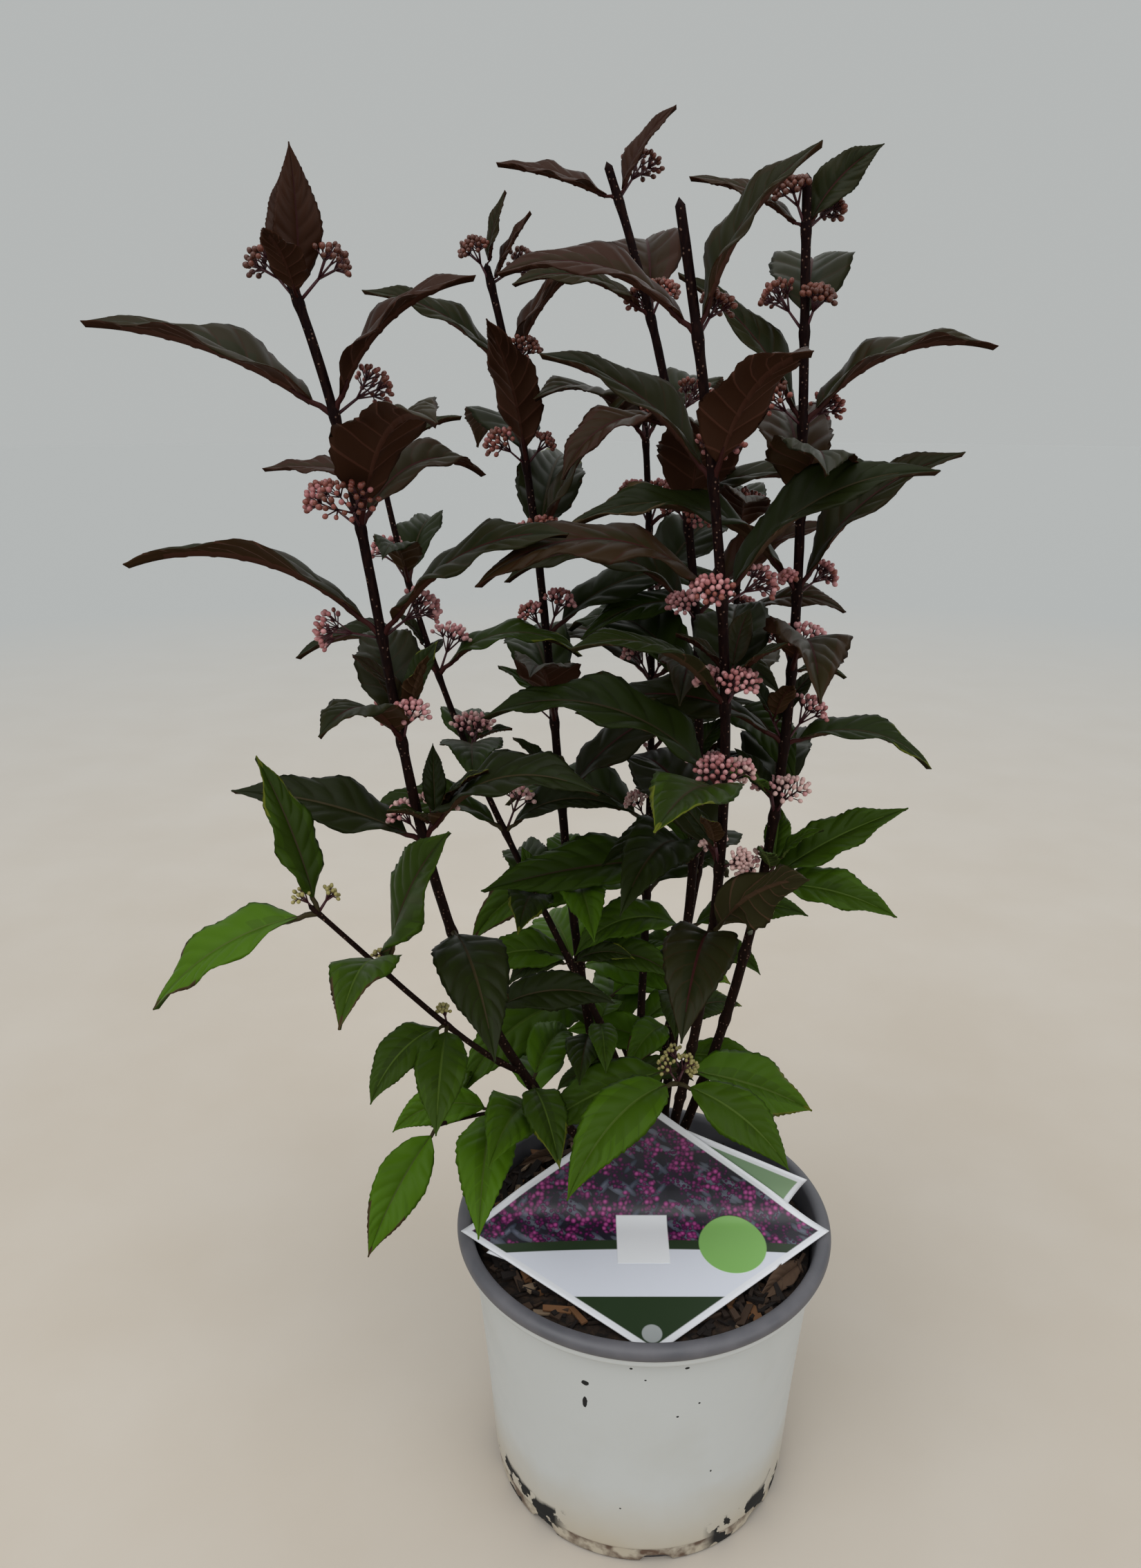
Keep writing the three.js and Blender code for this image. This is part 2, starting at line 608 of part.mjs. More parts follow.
// Each shoot is a bare lower stem and one or two masses that carry its pairs.
for (const shoot of growing) {
  const gap = GAP / shoot.curve.getLength();
  const between = (pairShare(shoot, 0) - pairShare(shoot, 1)) / 2;
  const cuts = [pairShare(shoot, shoot.pairs - 1) - between];
  if (shoot.crownPairs) cuts.push(pairShare(shoot, shoot.crownPairs) + between);
  const bare = solid(limb(shoot.curve, shoot.girth, 0, cuts[0]));
  if (!shoot.stem) {
    add(`stem_${shoot.name}`, geometryOf(bare.subtract(belowStems)), bark);
  }
  cuts.forEach((from, i) => {
    const last = i === cuts.length - 1;
    const start = shoot.stem ? 0 : from + gap;
    const stem = solid(limb(shoot.curve, shoot.girth, start, last ? 1 : cuts[i + 1]));
    const mine = ({ pair }) => !shoot.crownPairs || pair < shoot.crownPairs === last;
    const parts = [
      stem,
      ...shoot.leaves.filter(mine).map((leaf) => solid(leafGeometry(leaf))),
      ...shoot.clusters.filter(mine).map((cluster) => solid(clusterGeometry(cluster))),
    ];
    let body = fused(parts);
    if (shoot.stem) {
      const parent = solid(limb(shoot.stem.curve, shoot.stem.girth, 0, 1, GAP));
      body = fused([body.subtract(parent)]);
    }
    const level = shoot.crownPairs ? (last ? "_upper" : "_lower") : "";
    const finish = last && shoot.crownPairs ? purpleFoliage : foliage;
    add(`foliage_${shoot.name}${level}`, geometryOf(body), finish);
  });
}

export default plant;
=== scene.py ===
# Potted beautyberry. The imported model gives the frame, in metres; sizes below are millimetres unless they
# say otherwise.
import json
import math

import bmesh
import bpy
import numpy as np
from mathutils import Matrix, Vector, noise
from mathutils.bvhtree import BVHTree

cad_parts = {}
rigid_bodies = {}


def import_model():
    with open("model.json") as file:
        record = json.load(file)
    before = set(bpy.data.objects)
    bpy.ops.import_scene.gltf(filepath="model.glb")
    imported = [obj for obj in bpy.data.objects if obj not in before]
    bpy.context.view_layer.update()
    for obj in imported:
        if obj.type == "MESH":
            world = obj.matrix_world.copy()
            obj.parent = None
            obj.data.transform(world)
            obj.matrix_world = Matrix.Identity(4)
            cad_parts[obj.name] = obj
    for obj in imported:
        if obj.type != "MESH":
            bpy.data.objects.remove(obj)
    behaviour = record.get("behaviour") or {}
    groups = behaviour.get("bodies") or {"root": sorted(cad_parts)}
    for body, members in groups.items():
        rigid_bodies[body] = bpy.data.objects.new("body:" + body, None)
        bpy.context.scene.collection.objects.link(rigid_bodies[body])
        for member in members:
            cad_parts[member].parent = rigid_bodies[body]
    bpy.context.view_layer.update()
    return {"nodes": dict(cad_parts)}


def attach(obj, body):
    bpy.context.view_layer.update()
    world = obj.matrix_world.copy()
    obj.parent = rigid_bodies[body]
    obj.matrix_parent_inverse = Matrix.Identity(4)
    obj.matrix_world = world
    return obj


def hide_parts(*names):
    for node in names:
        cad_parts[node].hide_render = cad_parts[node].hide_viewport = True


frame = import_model()
MM = 0.001

# Camera. It stands half a metre in front of the pot, level with the top leaves, and looks down a little
# through a wide lens. Its place is in metres.
CAMERA = {"place": (-0.0336, -0.455, 0.495), "dip": 18.55, "sensor": 36, "lens": 26.98, "nearest": 0.01}


def placed(name, data):
    """A new object in the scene, at the origin."""
    made = bpy.data.objects.new(name, data)
    bpy.context.scene.collection.objects.link(made)
    return made


camera = placed("camera", bpy.data.cameras.new("camera"))
camera.data.sensor_width = CAMERA["sensor"]
camera.data.lens = CAMERA["lens"]
camera.data.clip_start = CAMERA["nearest"]
camera.location = CAMERA["place"]
camera.rotation_euler = (math.pi / 2 - math.radians(CAMERA["dip"]), 0, 0)
bpy.context.scene.camera = camera
bpy.context.scene.view_settings.view_transform = "Standard"

# Floor and light. A plain pale floor that fades into a pale room, a broad soft light overhead and weaker
# ones from both front corners and from behind. Distances on the floor are in metres.
FLOOR_COLOUR = (0.47, 0.42, 0.36)
FLOOR_WORN = (0.49, 0.445, 0.39)
FLOOR_FAR = (0.377, 0.385, 0.383)
FLOOR_FADE = (0.4, 2.5)
FLOOR_RADIUS = 12
ROOM_COLOUR = (0.46, 0.475, 0.47)
LAMPS = [  # name, the side that the light comes from, softness in degrees, strength
    ("overhead", (-0.2, -0.3, 1), 70, 1.6),
    ("front_left", (-1, -1, 0.8), 50, 0.62),
    ("front_right", (1, -0.8, 0.6), 50, 0.74),
    ("behind", (0.3, 1, 0.7), 60, 0.35),
]


def plain(name, colour, roughness, specular=0.5):
    """A shader of one colour, whose numbers sit on its own sockets."""
    made = bpy.data.materials.new(name)
    made.use_nodes = True
    shader = made.node_tree.nodes["Principled BSDF"]
    shader.inputs["Base Color"].default_value = (*colour, 1)
    shader.inputs["Roughness"].default_value = roughness
    shader.inputs["Specular IOR Level"].default_value = specular
    return made


def add_node(made, kind, values=(), links=(), **settings):
    """A shader node with its settings and values, its inputs joined to other nodes' outputs."""
    one = made.node_tree.nodes.new(kind)
    for setting, value in settings.items():
        setattr(one, setting, value)
    for socket, value in dict(values).items():
        one.inputs[socket].default_value = value
    for socket, source in dict(links).items():
        made.node_tree.links.new(source, one.inputs[socket])
    return one


def object_coords(made):
    return add_node(made, "ShaderNodeTexCoord").outputs["Object"]


def cloud(made, at, scale, detail=3):
    """Soft noise from 0 to 1. scale is in patches per metre."""
    values = {"Scale": scale, "Detail": detail}
    return add_node(made, "ShaderNodeTexNoise", values, {"Vector": at}).outputs["Fac"]


def mapped(made, value, low, high, out_low=0, out_high=1):
    values = {"From Min": low, "From Max": high, "To Min": out_low, "To Max": out_high}
    return add_node(made, "ShaderNodeMapRange", values, {"Value": value}).outputs[0]


def mixed(made, share, first, second):
    """Two colours mixed by share. Each is three numbers or a node's output."""
    one = add_node(made, "ShaderNodeMix", {}, {0: share}, data_type="RGBA")
    for socket, colour in ((6, first), (7, second)):
        if isinstance(colour, tuple):
            one.inputs[socket].default_value = (*colour, 1)
        else:
            made.node_tree.links.new(colour, one.inputs[socket])
    return one.outputs[2]


def into_shader(made, socket, source):
    made.node_tree.links.new(source, made.node_tree.nodes["Principled BSDF"].inputs[socket])


def mesh_from(bm, name):
    mesh = bpy.data.meshes.new(name)
    bm.to_mesh(mesh)
    bm.free()
    return mesh


floor_finish = plain("floor_finish", FLOOR_COLOUR, 0.8, 0.05)
floor_at = object_coords(floor_finish)
floor_cloud = mapped(floor_finish, cloud(floor_finish, floor_at, 9, 6), 0.35, 0.7)
away = add_node(floor_finish, "ShaderNodeVectorMath", {}, {0: floor_at}, operation="LENGTH").outputs["Value"]
near_colour = mixed(floor_finish, floor_cloud, FLOOR_COLOUR, FLOOR_WORN)
floor_colour = mixed(floor_finish, mapped(floor_finish, away, *FLOOR_FADE), near_colour, FLOOR_FAR)
into_shader(floor_finish, "Base Color", floor_colour)
bm = bmesh.new()
bmesh.ops.create_circle(bm, cap_ends=True, segments=96, radius=FLOOR_RADIUS)
floor = placed("floor", mesh_from(bm, "floor"))
floor.data.materials.append(floor_finish)
room = bpy.data.worlds.new("room")
bpy.context.scene.world = room
room.use_nodes = True
room.node_tree.nodes["Background"].inputs["Color"].default_value = (*ROOM_COLOUR, 1)
for lamp_name, lit_from, softness, strength in LAMPS:
    lamp = placed(lamp_name, bpy.data.lights.new(lamp_name, "SUN"))
    lamp.data.angle = math.radians(softness)
    lamp.data.energy = strength
    lamp.rotation_euler = Vector(lit_from).to_track_quat("Z", "Y").to_euler()

# Pot. A blow-moulded grey nursery pot with a white sleeve moulded to its wall. The rolled rim and the inside
# stay grey, the foot ring is notched for drainage, and its lower edge is stained and worn.
POT_OUTLINE = [  # radius and height, from the middle of the underside up the wall and down inside
    (0, 0), (66, 0), (67.8, 0), (69.2, 0.7), (69.5, 3), (69.9, 8.6), (70.5, 9.2), (70.7, 12), (73.5, 60),
    (78.2, 112), (78.8, 121.6), (79.6, 123.4), (83.4, 123.9), (84.6, 125.2), (84.7, 128), (85.6, 128.6),
    (86.1, 130.4), (85.6, 132.6), (83.8, 133.9), (81.4, 134), (79.6, 133), (78.9, 130.5), (77.1, 117),
    (71.5, 60), (67.5, 9), (66.8, 6.2), (60, 6), (0, 6),
]
POT_STEPS = 144
NOTCH = {"count": 8, "turn": 3, "width": 15, "height": 4.6, "inside": 66.9, "steep": 3}
SLEEVE_TOP = 127.8
SLEEVE_FOOT = 69.1  # the sleeve ends at this radius under the wall
SLEEVE_WHITE = (0.5, 0.52, 0.52)
SMUDGE, OCHRE, DIRT, TORN = (0.4, 0.4, 0.36), (0.42, 0.35, 0.24), (0.09, 0.05, 0.03), (0.004, 0.004, 0.004)
STAIN = {  # heights and distances on the sleeve, in metres
    "ragged": 0.012, "ochre": (0.045, 0.005), "dirt": (0.0095, 0.0085), "torn": (0.02, 0.017),
    "whole_front": 0.005, "torn_sides": (0.03, 0.036),
}
MARKS = [  # scuffs through the sleeve on its front: place across and up, half width and half height
    (-27.6, 105, 1.6, 1.3), (-27.6, 93.7, 1, 3.2), (-9, 118, 0.7, 0.5), (14, 117.5, 1, 0.6),
    (20, 96, 0.5, 0.5), (-3, 112, 0.5, 0.4), (11, 90, 0.6, 0.5), (-12, 34, 0.5, 0.4), (27, 52, 0.4, 0.6),
]


def worked(made, operation, first, second=0):
    """A maths node. second may be a number or another node's output."""
    one = add_node(made, "ShaderNodeMath", {}, {0: first}, operation=operation)
    if isinstance(second, (int, float)):
        one.inputs[1].default_value = second
    else:
        made.node_tree.links.new(second, one.inputs[1])
    return one.outputs[0]


def squares(made, first, second):
    """The sum of two squares."""
    first, second = (worked(made, "MULTIPLY", side, side) for side in (first, second))
    return worked(made, "ADD", first, second)


def sides_of(made, place):
    """A place's x, y and z."""
    return add_node(made, "ShaderNodeSeparateXYZ", {}, {0: place}).outputs


def layered(made, colour, layers):
    """A colour with others laid over it, each by its share."""
    for share, laid in layers:
        colour = mixed(made, share, colour, laid)
    return colour


def raised(made, height, distance, strength=0.6):
    """Relief from a height. distance is in metres."""
    values = {"Distance": distance, "Strength": strength}
    bump = add_node(made, "ShaderNodeBump", values, {"Height": height})
    into_shader(made, "Normal", bump.outputs[0])


def shown(name, mesh, materials, smooth=True):
    """A new piece that rides with the one rigid body."""
    for one in materials:
        mesh.materials.append(one)
    mesh.polygons.foreach_set("use_smooth", [smooth] * len(mesh.polygons))
    piece = placed(name, mesh)
    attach(piece, "root")
    return piece


def softened(outline, rounds):
    """Cuts the corners of an outline, so that it turns smoothly."""
    for _ in range(rounds):
        cut = [outline[0]]
        for (r, z), (next_r, next_z) in zip(outline, outline[1:]):
            cut.append((0.75 * r + 0.25 * next_r, 0.75 * z + 0.25 * next_z))
            cut.append((0.25 * r + 0.75 * next_r, 0.25 * z + 0.75 * next_z))
        outline = cut + [outline[-1]]
    return outline


def turned(outline, steps):
    """A closed mesh turned from an outline of radius and height."""
    bm = bmesh.new()
    ring = [bm.verts.new((r * MM, 0, z * MM)) for r, z in outline]
    edges = [bm.edges.new(pair) for pair in zip(ring, ring[1:])]
    whole = {"cent": (0, 0, 0), "axis": (0, 0, 1), "angle": 2 * math.pi}
    bmesh.ops.spin(bm, geom=ring + edges, steps=steps, use_merge=True, **whole)
    bmesh.ops.remove_doubles(bm, verts=bm.verts, dist=1e-6)
    bmesh.ops.recalc_face_normals(bm, faces=bm.faces)
    return bm


sleeve = plain("pot_sleeve", SLEEVE_WHITE, 0.4)
sleeve_at = object_coords(sleeve)
sleeve_x, sleeve_y, sleeve_z = sides_of(sleeve, sleeve_at)
smudge = mapped(sleeve, cloud(sleeve, sleeve_at, 22, 5), 0.5, 0.75, 0, 0.3)
uneven = mapped(sleeve, cloud(sleeve, sleeve_at, 35, 4), 0, 1, -STAIN["ragged"], STAIN["ragged"])
stain_height = worked(sleeve, "ADD", sleeve_z, uneven)
ochre = mapped(sleeve, stain_height, *STAIN["ochre"], 0, 0.75)
dirt_patches = mapped(sleeve, cloud(sleeve, sleeve_at, 150, 6), 0.4, 0.62)
foot_dirt = worked(sleeve, "MULTIPLY", mapped(sleeve, sleeve_z, *STAIN["dirt"]), dirt_patches)
off_middle = worked(sleeve, "ABSOLUTE", worked(sleeve, "ADD", sleeve_x, STAIN["whole_front"]))
torn_patches = mapped(sleeve, cloud(sleeve, sleeve_at, 85, 6), 0.505, 0.515)
torn = worked(sleeve, "MULTIPLY", torn_patches, mapped(sleeve, off_middle, *STAIN["torn_sides"]))
torn = worked(sleeve, "MULTIPLY", torn, mapped(sleeve, stain_height, *STAIN["torn"]))
in_front = mapped(sleeve, sleeve_y, 0, -0.01)
for across, up, half_width, half_height in MARKS:
    off_x = worked(sleeve, "DIVIDE", worked(sleeve, "SUBTRACT", sleeve_x, across * MM), half_width * MM)
    off_z = worked(sleeve, "DIVIDE", worked(sleeve, "SUBTRACT", sleeve_z, up * MM), half_height * MM)
    edge = mapped(sleeve, cloud(sleeve, sleeve_at, 900), 0, 1, -0.6, 0.6)
    ragged = worked(sleeve, "ADD", squares(sleeve, off_x, off_z), edge)
    mark = worked(sleeve, "MULTIPLY", mapped(sleeve, ragged, 1.1, 0.9), in_front)
    torn = worked(sleeve, "MAXIMUM", torn, mark)
sleeve_layers = [(smudge, SMUDGE), (ochre, OCHRE), (foot_dirt, DIRT), (torn, TORN)]
into_shader(sleeve, "Base Color", layered(sleeve, SLEEVE_WHITE, sleeve_layers))
gloss = mapped(sleeve, cloud(sleeve, sleeve_at, 60), 0.3, 0.7, 0.34, 0.5)
into_shader(sleeve, "Roughness", worked(sleeve, "MAXIMUM", gloss, worked(sleeve, "MULTIPLY", torn, 0.95)))
raised(sleeve, torn, 0.0004, -0.8)

rim_grey = plain("pot_grey", (0.2, 0.2, 0.23), 0.5)
grey_at = object_coords(rim_grey)
dust = mapped(rim_grey, cloud(rim_grey, grey_at, 70, 6), 0.4, 0.75)
into_shader(rim_grey, "Base Color", mixed(rim_grey, dust, (0.078, 0.078, 0.09), (0.115, 0.112, 0.125)))
into_shader(rim_grey, "Roughness", mapped(rim_grey, dust, 0, 1, 0.42, 0.62))
raised(rim_grey, cloud(rim_grey, grey_at, 400), 0.0001, 0.5)

bm = turned(softened(POT_OUTLINE, 2), POT_STEPS)
notch_pitch = 360 / NOTCH["count"]
for vert in bm.verts:
    radius = vert.co.xy.length / MM
    if vert.co.z < NOTCH["height"] * MM and radius > NOTCH["inside"]:
        turn = math.degrees(math.atan2(vert.co.y, vert.co.x)) - NOTCH["turn"]
        apart = abs((turn + notch_pitch / 2) % notch_pitch - notch_pitch / 2)
        inside = 1 - apart / math.degrees(NOTCH["width"] / 2 / radius)
        lift = min(max(inside * NOTCH["steep"], 0), 1)
        vert.co.z = max(vert.co.z, lift * lift * (3 - 2 * lift) * NOTCH["height"] * MM)
for face in bm.faces:
    middle = face.calc_center_median()
    outside = face.normal.xy.dot(middle.xy) > 0 and middle.xy.length > SLEEVE_FOOT * MM
    face.material_index = 0 if outside and middle.z < SLEEVE_TOP * MM else 1
pot = shown("nursery_pot", mesh_from(bm, "nursery_pot"), [sleeve, rim_grey])
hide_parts("pot")

# Soil. Dark bark compost, a finger below the rim, with loose chips and fibres of bark on top. Nothing but
# its own weight holds it.
SOIL_TOP = 124
SOIL_RADIUS = 76.6
SOIL_RINGS = 36
SOIL_STEPS = 110
SOIL_OUTLINE = [(0, 6.3), (67, 6.3), (71, 60), (SOIL_RADIUS, 117), (SOIL_RADIUS, SOIL_TOP - 0.8)]
UNDER_CARD = {"height": 134.4, "line": -17, "slope": 10.2}  # the space that the front card leaves
CHIP = {
    "seed": 41, "count": 1500, "long": (3, 13), "wide": (1, 4.5), "thick": (0.5, 1.5), "pitch": 0.22,
    "roll": 0.3, "taper": 0.5, "bow": 0.02, "sunk": 0.6, "piled": 0.7, "highest": 131,
}
CHIP_COLOURS = [
    (0.008, 0.005, 0.004), (0.02, 0.012, 0.008), (0.045, 0.026, 0.016), (0.13, 0.06, 0.025),
    (0.2, 0.14, 0.09),
]
CHIP_ODDS = [0.36, 0.31, 0.19, 0.1, 0.04]


def soil_rise(x, y):
    """How far the soil stands above its mean level."""
    return 1.1 * noise.fractal(Vector((x, y, 3)) * 0.11, 0.7, 2, 4)


def card_height(y):
    """The front card's underside over the soil, so that no chip pokes through it."""
    past = min(y, UNDER_CARD["line"]) - UNDER_CARD["line"]
    return UNDER_CARD["height"] + past * math.tan(math.radians(UNDER_CARD["slope"]))


def join_parts(name, parts, finishes, replaced=None, smooth=True):
    """One piece from many small closed parts, each given as its points, its faces and their finishes."""
    starts = np.cumsum([0] + [len(points) for points, _, _ in parts])
    faces = [[int(start + i) for i in face] for (_, own, _), start in zip(parts, starts) for face in own]
    mesh = bpy.data.meshes.new(name)
    mesh.from_pydata(np.concatenate([points for points, _, _ in parts]) * MM, [], faces)
    kinds = np.concatenate([own for _, _, own in parts]).astype(np.int32)
    mesh.polygons.foreach_set("material_index", kinds)
    piece = shown(name, mesh, finishes, smooth)
    if replaced is not None:
        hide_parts(*replaced)


earth = plain("bark_compost", (0.012, 0.008, 0.006), 0.9, 0.3)
lumps = cloud(earth, object_coords(earth), 260, 8)
lit_lumps = mapped(earth, lumps, 0.4, 0.7)
into_shader(earth, "Base Color", mixed(earth, lit_lumps, (0.006, 0.004, 0.003), (0.035, 0.02, 0.012)))
raised(earth, lumps, 0.002, 0.9)
soil_surface = [(SOIL_RADIUS * (1 - i / SOIL_RINGS), SOIL_TOP) for i in range(1, SOIL_RINGS + 1)]
bm = turned(SOIL_OUTLINE + soil_surface, SOIL_STEPS)
for vert in bm.verts:
    if vert.co.z > (SOIL_TOP - 0.1) * MM:
        vert.co.z += (soil_rise(vert.co.x / MM, vert.co.y / MM) - 0.3) * MM
soil = shown("compost", mesh_from(bm, "compost"), [earth])
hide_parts("soil")

bm = bmesh.new()
bmesh.ops.create_cube(bm, size=1)
chip_points = np.array([v.co[:] for v in bm.verts])
chip_faces = [[v.index for v in f.verts] for f in bm.faces]
bm.free()
rng = np.random.default_rng(CHIP["seed"])
chips = []
while len(chips) < CHIP["count"]:
    shape = chip_points * [rng.uniform(*CHIP[way]) for way in ("long", "wide", "thick")]
    radius, bearing = (SOIL_RADIUS - 1) * math.sqrt(rng.random()), rng.random() * 2 * math.pi
    x, y = radius * math.cos(bearing), radius * math.sin(bearing)
    yaw, pitch, roll = rng.random() * math.pi, rng.normal(0, CHIP["pitch"]), rng.normal(0, CHIP["roll"])
    shape[:, 1] *= 1 - CHIP["taper"] * rng.random() * (shape[:, 0] > 0)
    shape[:, 2] += roll * shape[:, 1] + pitch * shape[:, 0] - CHIP["bow"] * shape[:, 0] ** 2
    yawed = np.array([[math.cos(yaw), math.sin(yaw)], [-math.sin(yaw), math.cos(yaw)]])
    level = shape[:, :2] @ yawed + (x, y)
    raise_by = SOIL_TOP + soil_rise(x, y) - shape[:, 2].min() - CHIP["sunk"] + rng.exponential(CHIP["piled"])
    shape = np.column_stack([level, shape[:, 2] + raise_by])
    top = shape[:, 2].max()
    under_card = y < UNDER_CARD["line"] and top > card_height(shape[:, 1].min())
    if np.hypot(*level.T).max() > SOIL_RADIUS or under_card or top > CHIP["highest"]:
        continue
    kind = rng.choice(len(CHIP_COLOURS), p=CHIP_ODDS)
    chips.append((shape, chip_faces, np.full(6, kind)))
chip_finishes = [plain(f"bark_chip_{i}", c, 0.85, 0.3) for i, c in enumerate(CHIP_COLOURS)]
join_parts("bark_chips", chips, chip_finishes, smooth=False)

# Cards. Two diamond labels of thin printed plastic, each bent once: the side corners rest on the rim and
# the back half leans on the stems. White edge, a flower picture, a dark band, a pale panel and stickers.
CARD = {
    "across": 83, "along": 62, "thick": 0.5, "rest": 135.7, "line": -17, "front": 10.2, "back": 82,
    "bend": 16, "cuts": 56,
}
BACK_CARD = {"turn": 13, "drop": 1.2, "shift": (2, 6), "size": 0.9}
CARD_WHITE = (0.66, 0.67, 0.7)
CARD_PALE = (0.6, 0.62, 0.68)
CARD_GREEN = (0.018, 0.034, 0.014)
CARD_GREY = (0.3, 0.32, 0.32)
CARD_EDGE = 3
PICTURE_EDGE, BAND_EDGE, TIP_EDGE = -5, -10, -34.4
PICTURE_BOW, BAND_BOW, BOW_REACH = 2.6, 2.5, 70
PLATE = {"middle": (-1.4, -5), "half": (11.5, 12.5), "colour": (0.7, 0.71, 0.73)}
STICKER = {"middle": (38.5, -7.7), "radius": 15, "colour": (0.2, 0.4, 0.11)}
TIP_DISC = {"middle": (0, -52), "radius": 4.2}
PICTURE_GROUND = ((0.004, 0.004, 0.006), (0.02, 0.018, 0.03))
PICTURE_LEAVES = [  # the turn of each layer of leaves and the colour of its shaded parts
    (0.7, (0.028, 0.036, 0.055)), (-0.8, (0.042, 0.05, 0.072)), (2.1, (0.07, 0.078, 0.1)),
]
PICTURE_LIT = (0.13, 0.14, 0.19)
PICTURE_STRETCH = (0.22, 0.06, 1)  # leaves per millimetre across and along
PICTURE_BERRIES = [  # beads per millimetre, how rare their bunches are, and their pale and dark colours
    (0.55, 0.47, (0.16, 0.016, 0.1), (0.022, 0.002, 0.024)),
    (0.42, 0.52, (0.42, 0.07, 0.26), (0.08, 0.005, 0.055)),
]
BACK_TINTS = ((0.25, 0.36, 0.2), (0.12, 0.2, 0.12))


def on_card(across, distance, below):
    """A point of a card, across its bend line and along its bent section."""
    front = math.radians(CARD["front"])
    arc = CARD["bend"] * math.radians(CARD["back"] - CARD["front"])
    round_bend = min(max(distance, 0), arc)
    slope = front + round_bend / CARD["bend"]
    straight = distance - round_bend
    y = CARD["line"] + CARD["bend"] * (math.sin(slope) - math.sin(front)) + straight * math.cos(slope)
    z = CARD["rest"] + CARD["bend"] * (math.cos(front) - math.cos(slope)) + straight * math.sin(slope)
    return Vector((across, y + below * math.sin(slope), z - below * math.cos(slope))) * MM


def bent_card(name, turn=0, drop=0, shift=(0, 0), size=1):
    """A diamond sheet that keeps its flat place, in shares of its reach, as its UV map."""
    bm = bmesh.new()
    bmesh.ops.create_grid(bm, x_segments=CARD["cuts"], y_segments=CARD["cuts"], size=1)
    flat = bm.loops.layers.uv.new("print")
    for face in bm.faces:
        for loop in face.loops:
            s, t = loop.vert.co.x, loop.vert.co.y
            loop[flat].uv = ((s - t) / 4 + 0.5, (s + t) / 4 + 0.5)
    a = math.radians(turn)
    for vert in bm.verts:
        u = (vert.co.x - vert.co.y) / 2 * CARD["across"]
        v = (vert.co.x + vert.co.y) / 2 * CARD["along"]
        across = size * (u * math.cos(a) - v * math.sin(a)) + shift[0]
        along = size * (u * math.sin(a) + v * math.cos(a)) + shift[1]
        vert.co = on_card(across, along, drop)
    return mesh_from(bm, name)


def over(made, value, edge, soft=0.25):
    """1 where value is past edge, in millimetres, with a soft border."""
    return mapped(made, value, edge - soft, edge + soft)


def under(made, value, edge, soft=0.25):
    return mapped(made, value, edge - soft, edge + soft, 1, 0)


def card_frame(made):
    """The flat place on a card in millimetres, as u, v and the depth inside its edge."""
    uv = add_node(made, "ShaderNodeUVMap", uv_map="print").outputs[0]
    share_u, share_v, _ = sides_of(made, uv)
    u = mapped(made, share_u, 0, 1, -CARD["across"], CARD["across"])
    v = mapped(made, share_v, 0, 1, -CARD["along"], CARD["along"])
    out_u = worked(made, "DIVIDE", worked(made, "ABSOLUTE", u), CARD["across"])
    out_v = worked(made, "DIVIDE", worked(made, "ABSOLUTE", v), CARD["along"])
    narrow = CARD["across"] * CARD["along"] / math.hypot(CARD["across"], CARD["along"])
    return u, v, mapped(made, worked(made, "ADD", out_u, out_v), 0, 1, narrow, 0)


def above_bow(made, u, v, level, drop):
    """How far a place lies above a line at level in the card's middle and lower by drop at its sides."""
    bowed = mapped(made, worked(made, "MULTIPLY", u, u), 0, BOW_REACH**2, level, level - drop)
    return worked(made, "SUBTRACT", v, bowed)


def off_disc(made, u, v, middle, radius):
    """How far a place on the card lies outside a disc."""
    off_u, off_v = (worked(made, "SUBTRACT", place, at) for place, at in zip((u, v), middle))
    return worked(made, "SUBTRACT", worked(made, "SQRT", squares(made, off_u, off_v)), radius)


def off_plate(made, u, v, middle, half):
    """How far a place on the card lies outside a rectangle."""
    outside = []
    for place, at, reach in zip((u, v), middle, half):
        away = worked(made, "ABSOLUTE", worked(made, "SUBTRACT", place, at))
        outside.append(worked(made, "SUBTRACT", away, reach))
    return worked(made, "MAXIMUM", *outside)


card_white = plain("card_white", CARD_WHITE, 0.35)
card_print = plain("card_print", CARD_WHITE, 0.3)
u, v, inside = card_frame(card_print)
spot = add_node(card_print, "ShaderNodeCombineXYZ", {}, {0: u, 1: v}).outputs[0]
picture = mixed(card_print, cloud(card_print, spot, 0.2, 4), *PICTURE_GROUND)
for turn, shade in PICTURE_LEAVES:
    across = add_node(card_print, "ShaderNodeVectorRotate", {"Angle": turn}, {"Vector": spot}).outputs[0]
    stretch = {"Scale": PICTURE_STRETCH}
    drawn = add_node(card_print, "ShaderNodeMapping", stretch, {"Vector": across}).outputs[0]
    blades = add_node(card_print, "ShaderNodeTexVoronoi", {"Scale": 1}, {"Vector": drawn}).outputs["Distance"]
    lit = mixed(card_print, mapped(card_print, blades, 0, 0.26), PICTURE_LIT, shade)
    picture = mixed(card_print, under(card_print, blades, 0.31, 0.03), picture, lit)
for scale, rare, pale_bead, dark_bead in PICTURE_BERRIES:
    values = {"Scale": scale, "Randomness": 0.7}
    beads = add_node(card_print, "ShaderNodeTexVoronoi", values, {"Vector": spot}).outputs["Distance"]
    bead_colour = mixed(card_print, mapped(card_print, beads, 0.1, 0.5), pale_bead, dark_bead)
    in_bunch = over(card_print, cloud(card_print, spot, 0.17 * scale, 1), rare, 0.02)
    in_bead = worked(card_print, "MULTIPLY", in_bunch, under(card_print, beads, 0.55, 0.04))
    picture = mixed(card_print, in_bead, picture, bead_colour)
below_tip = under(card_print, v, TIP_EDGE)
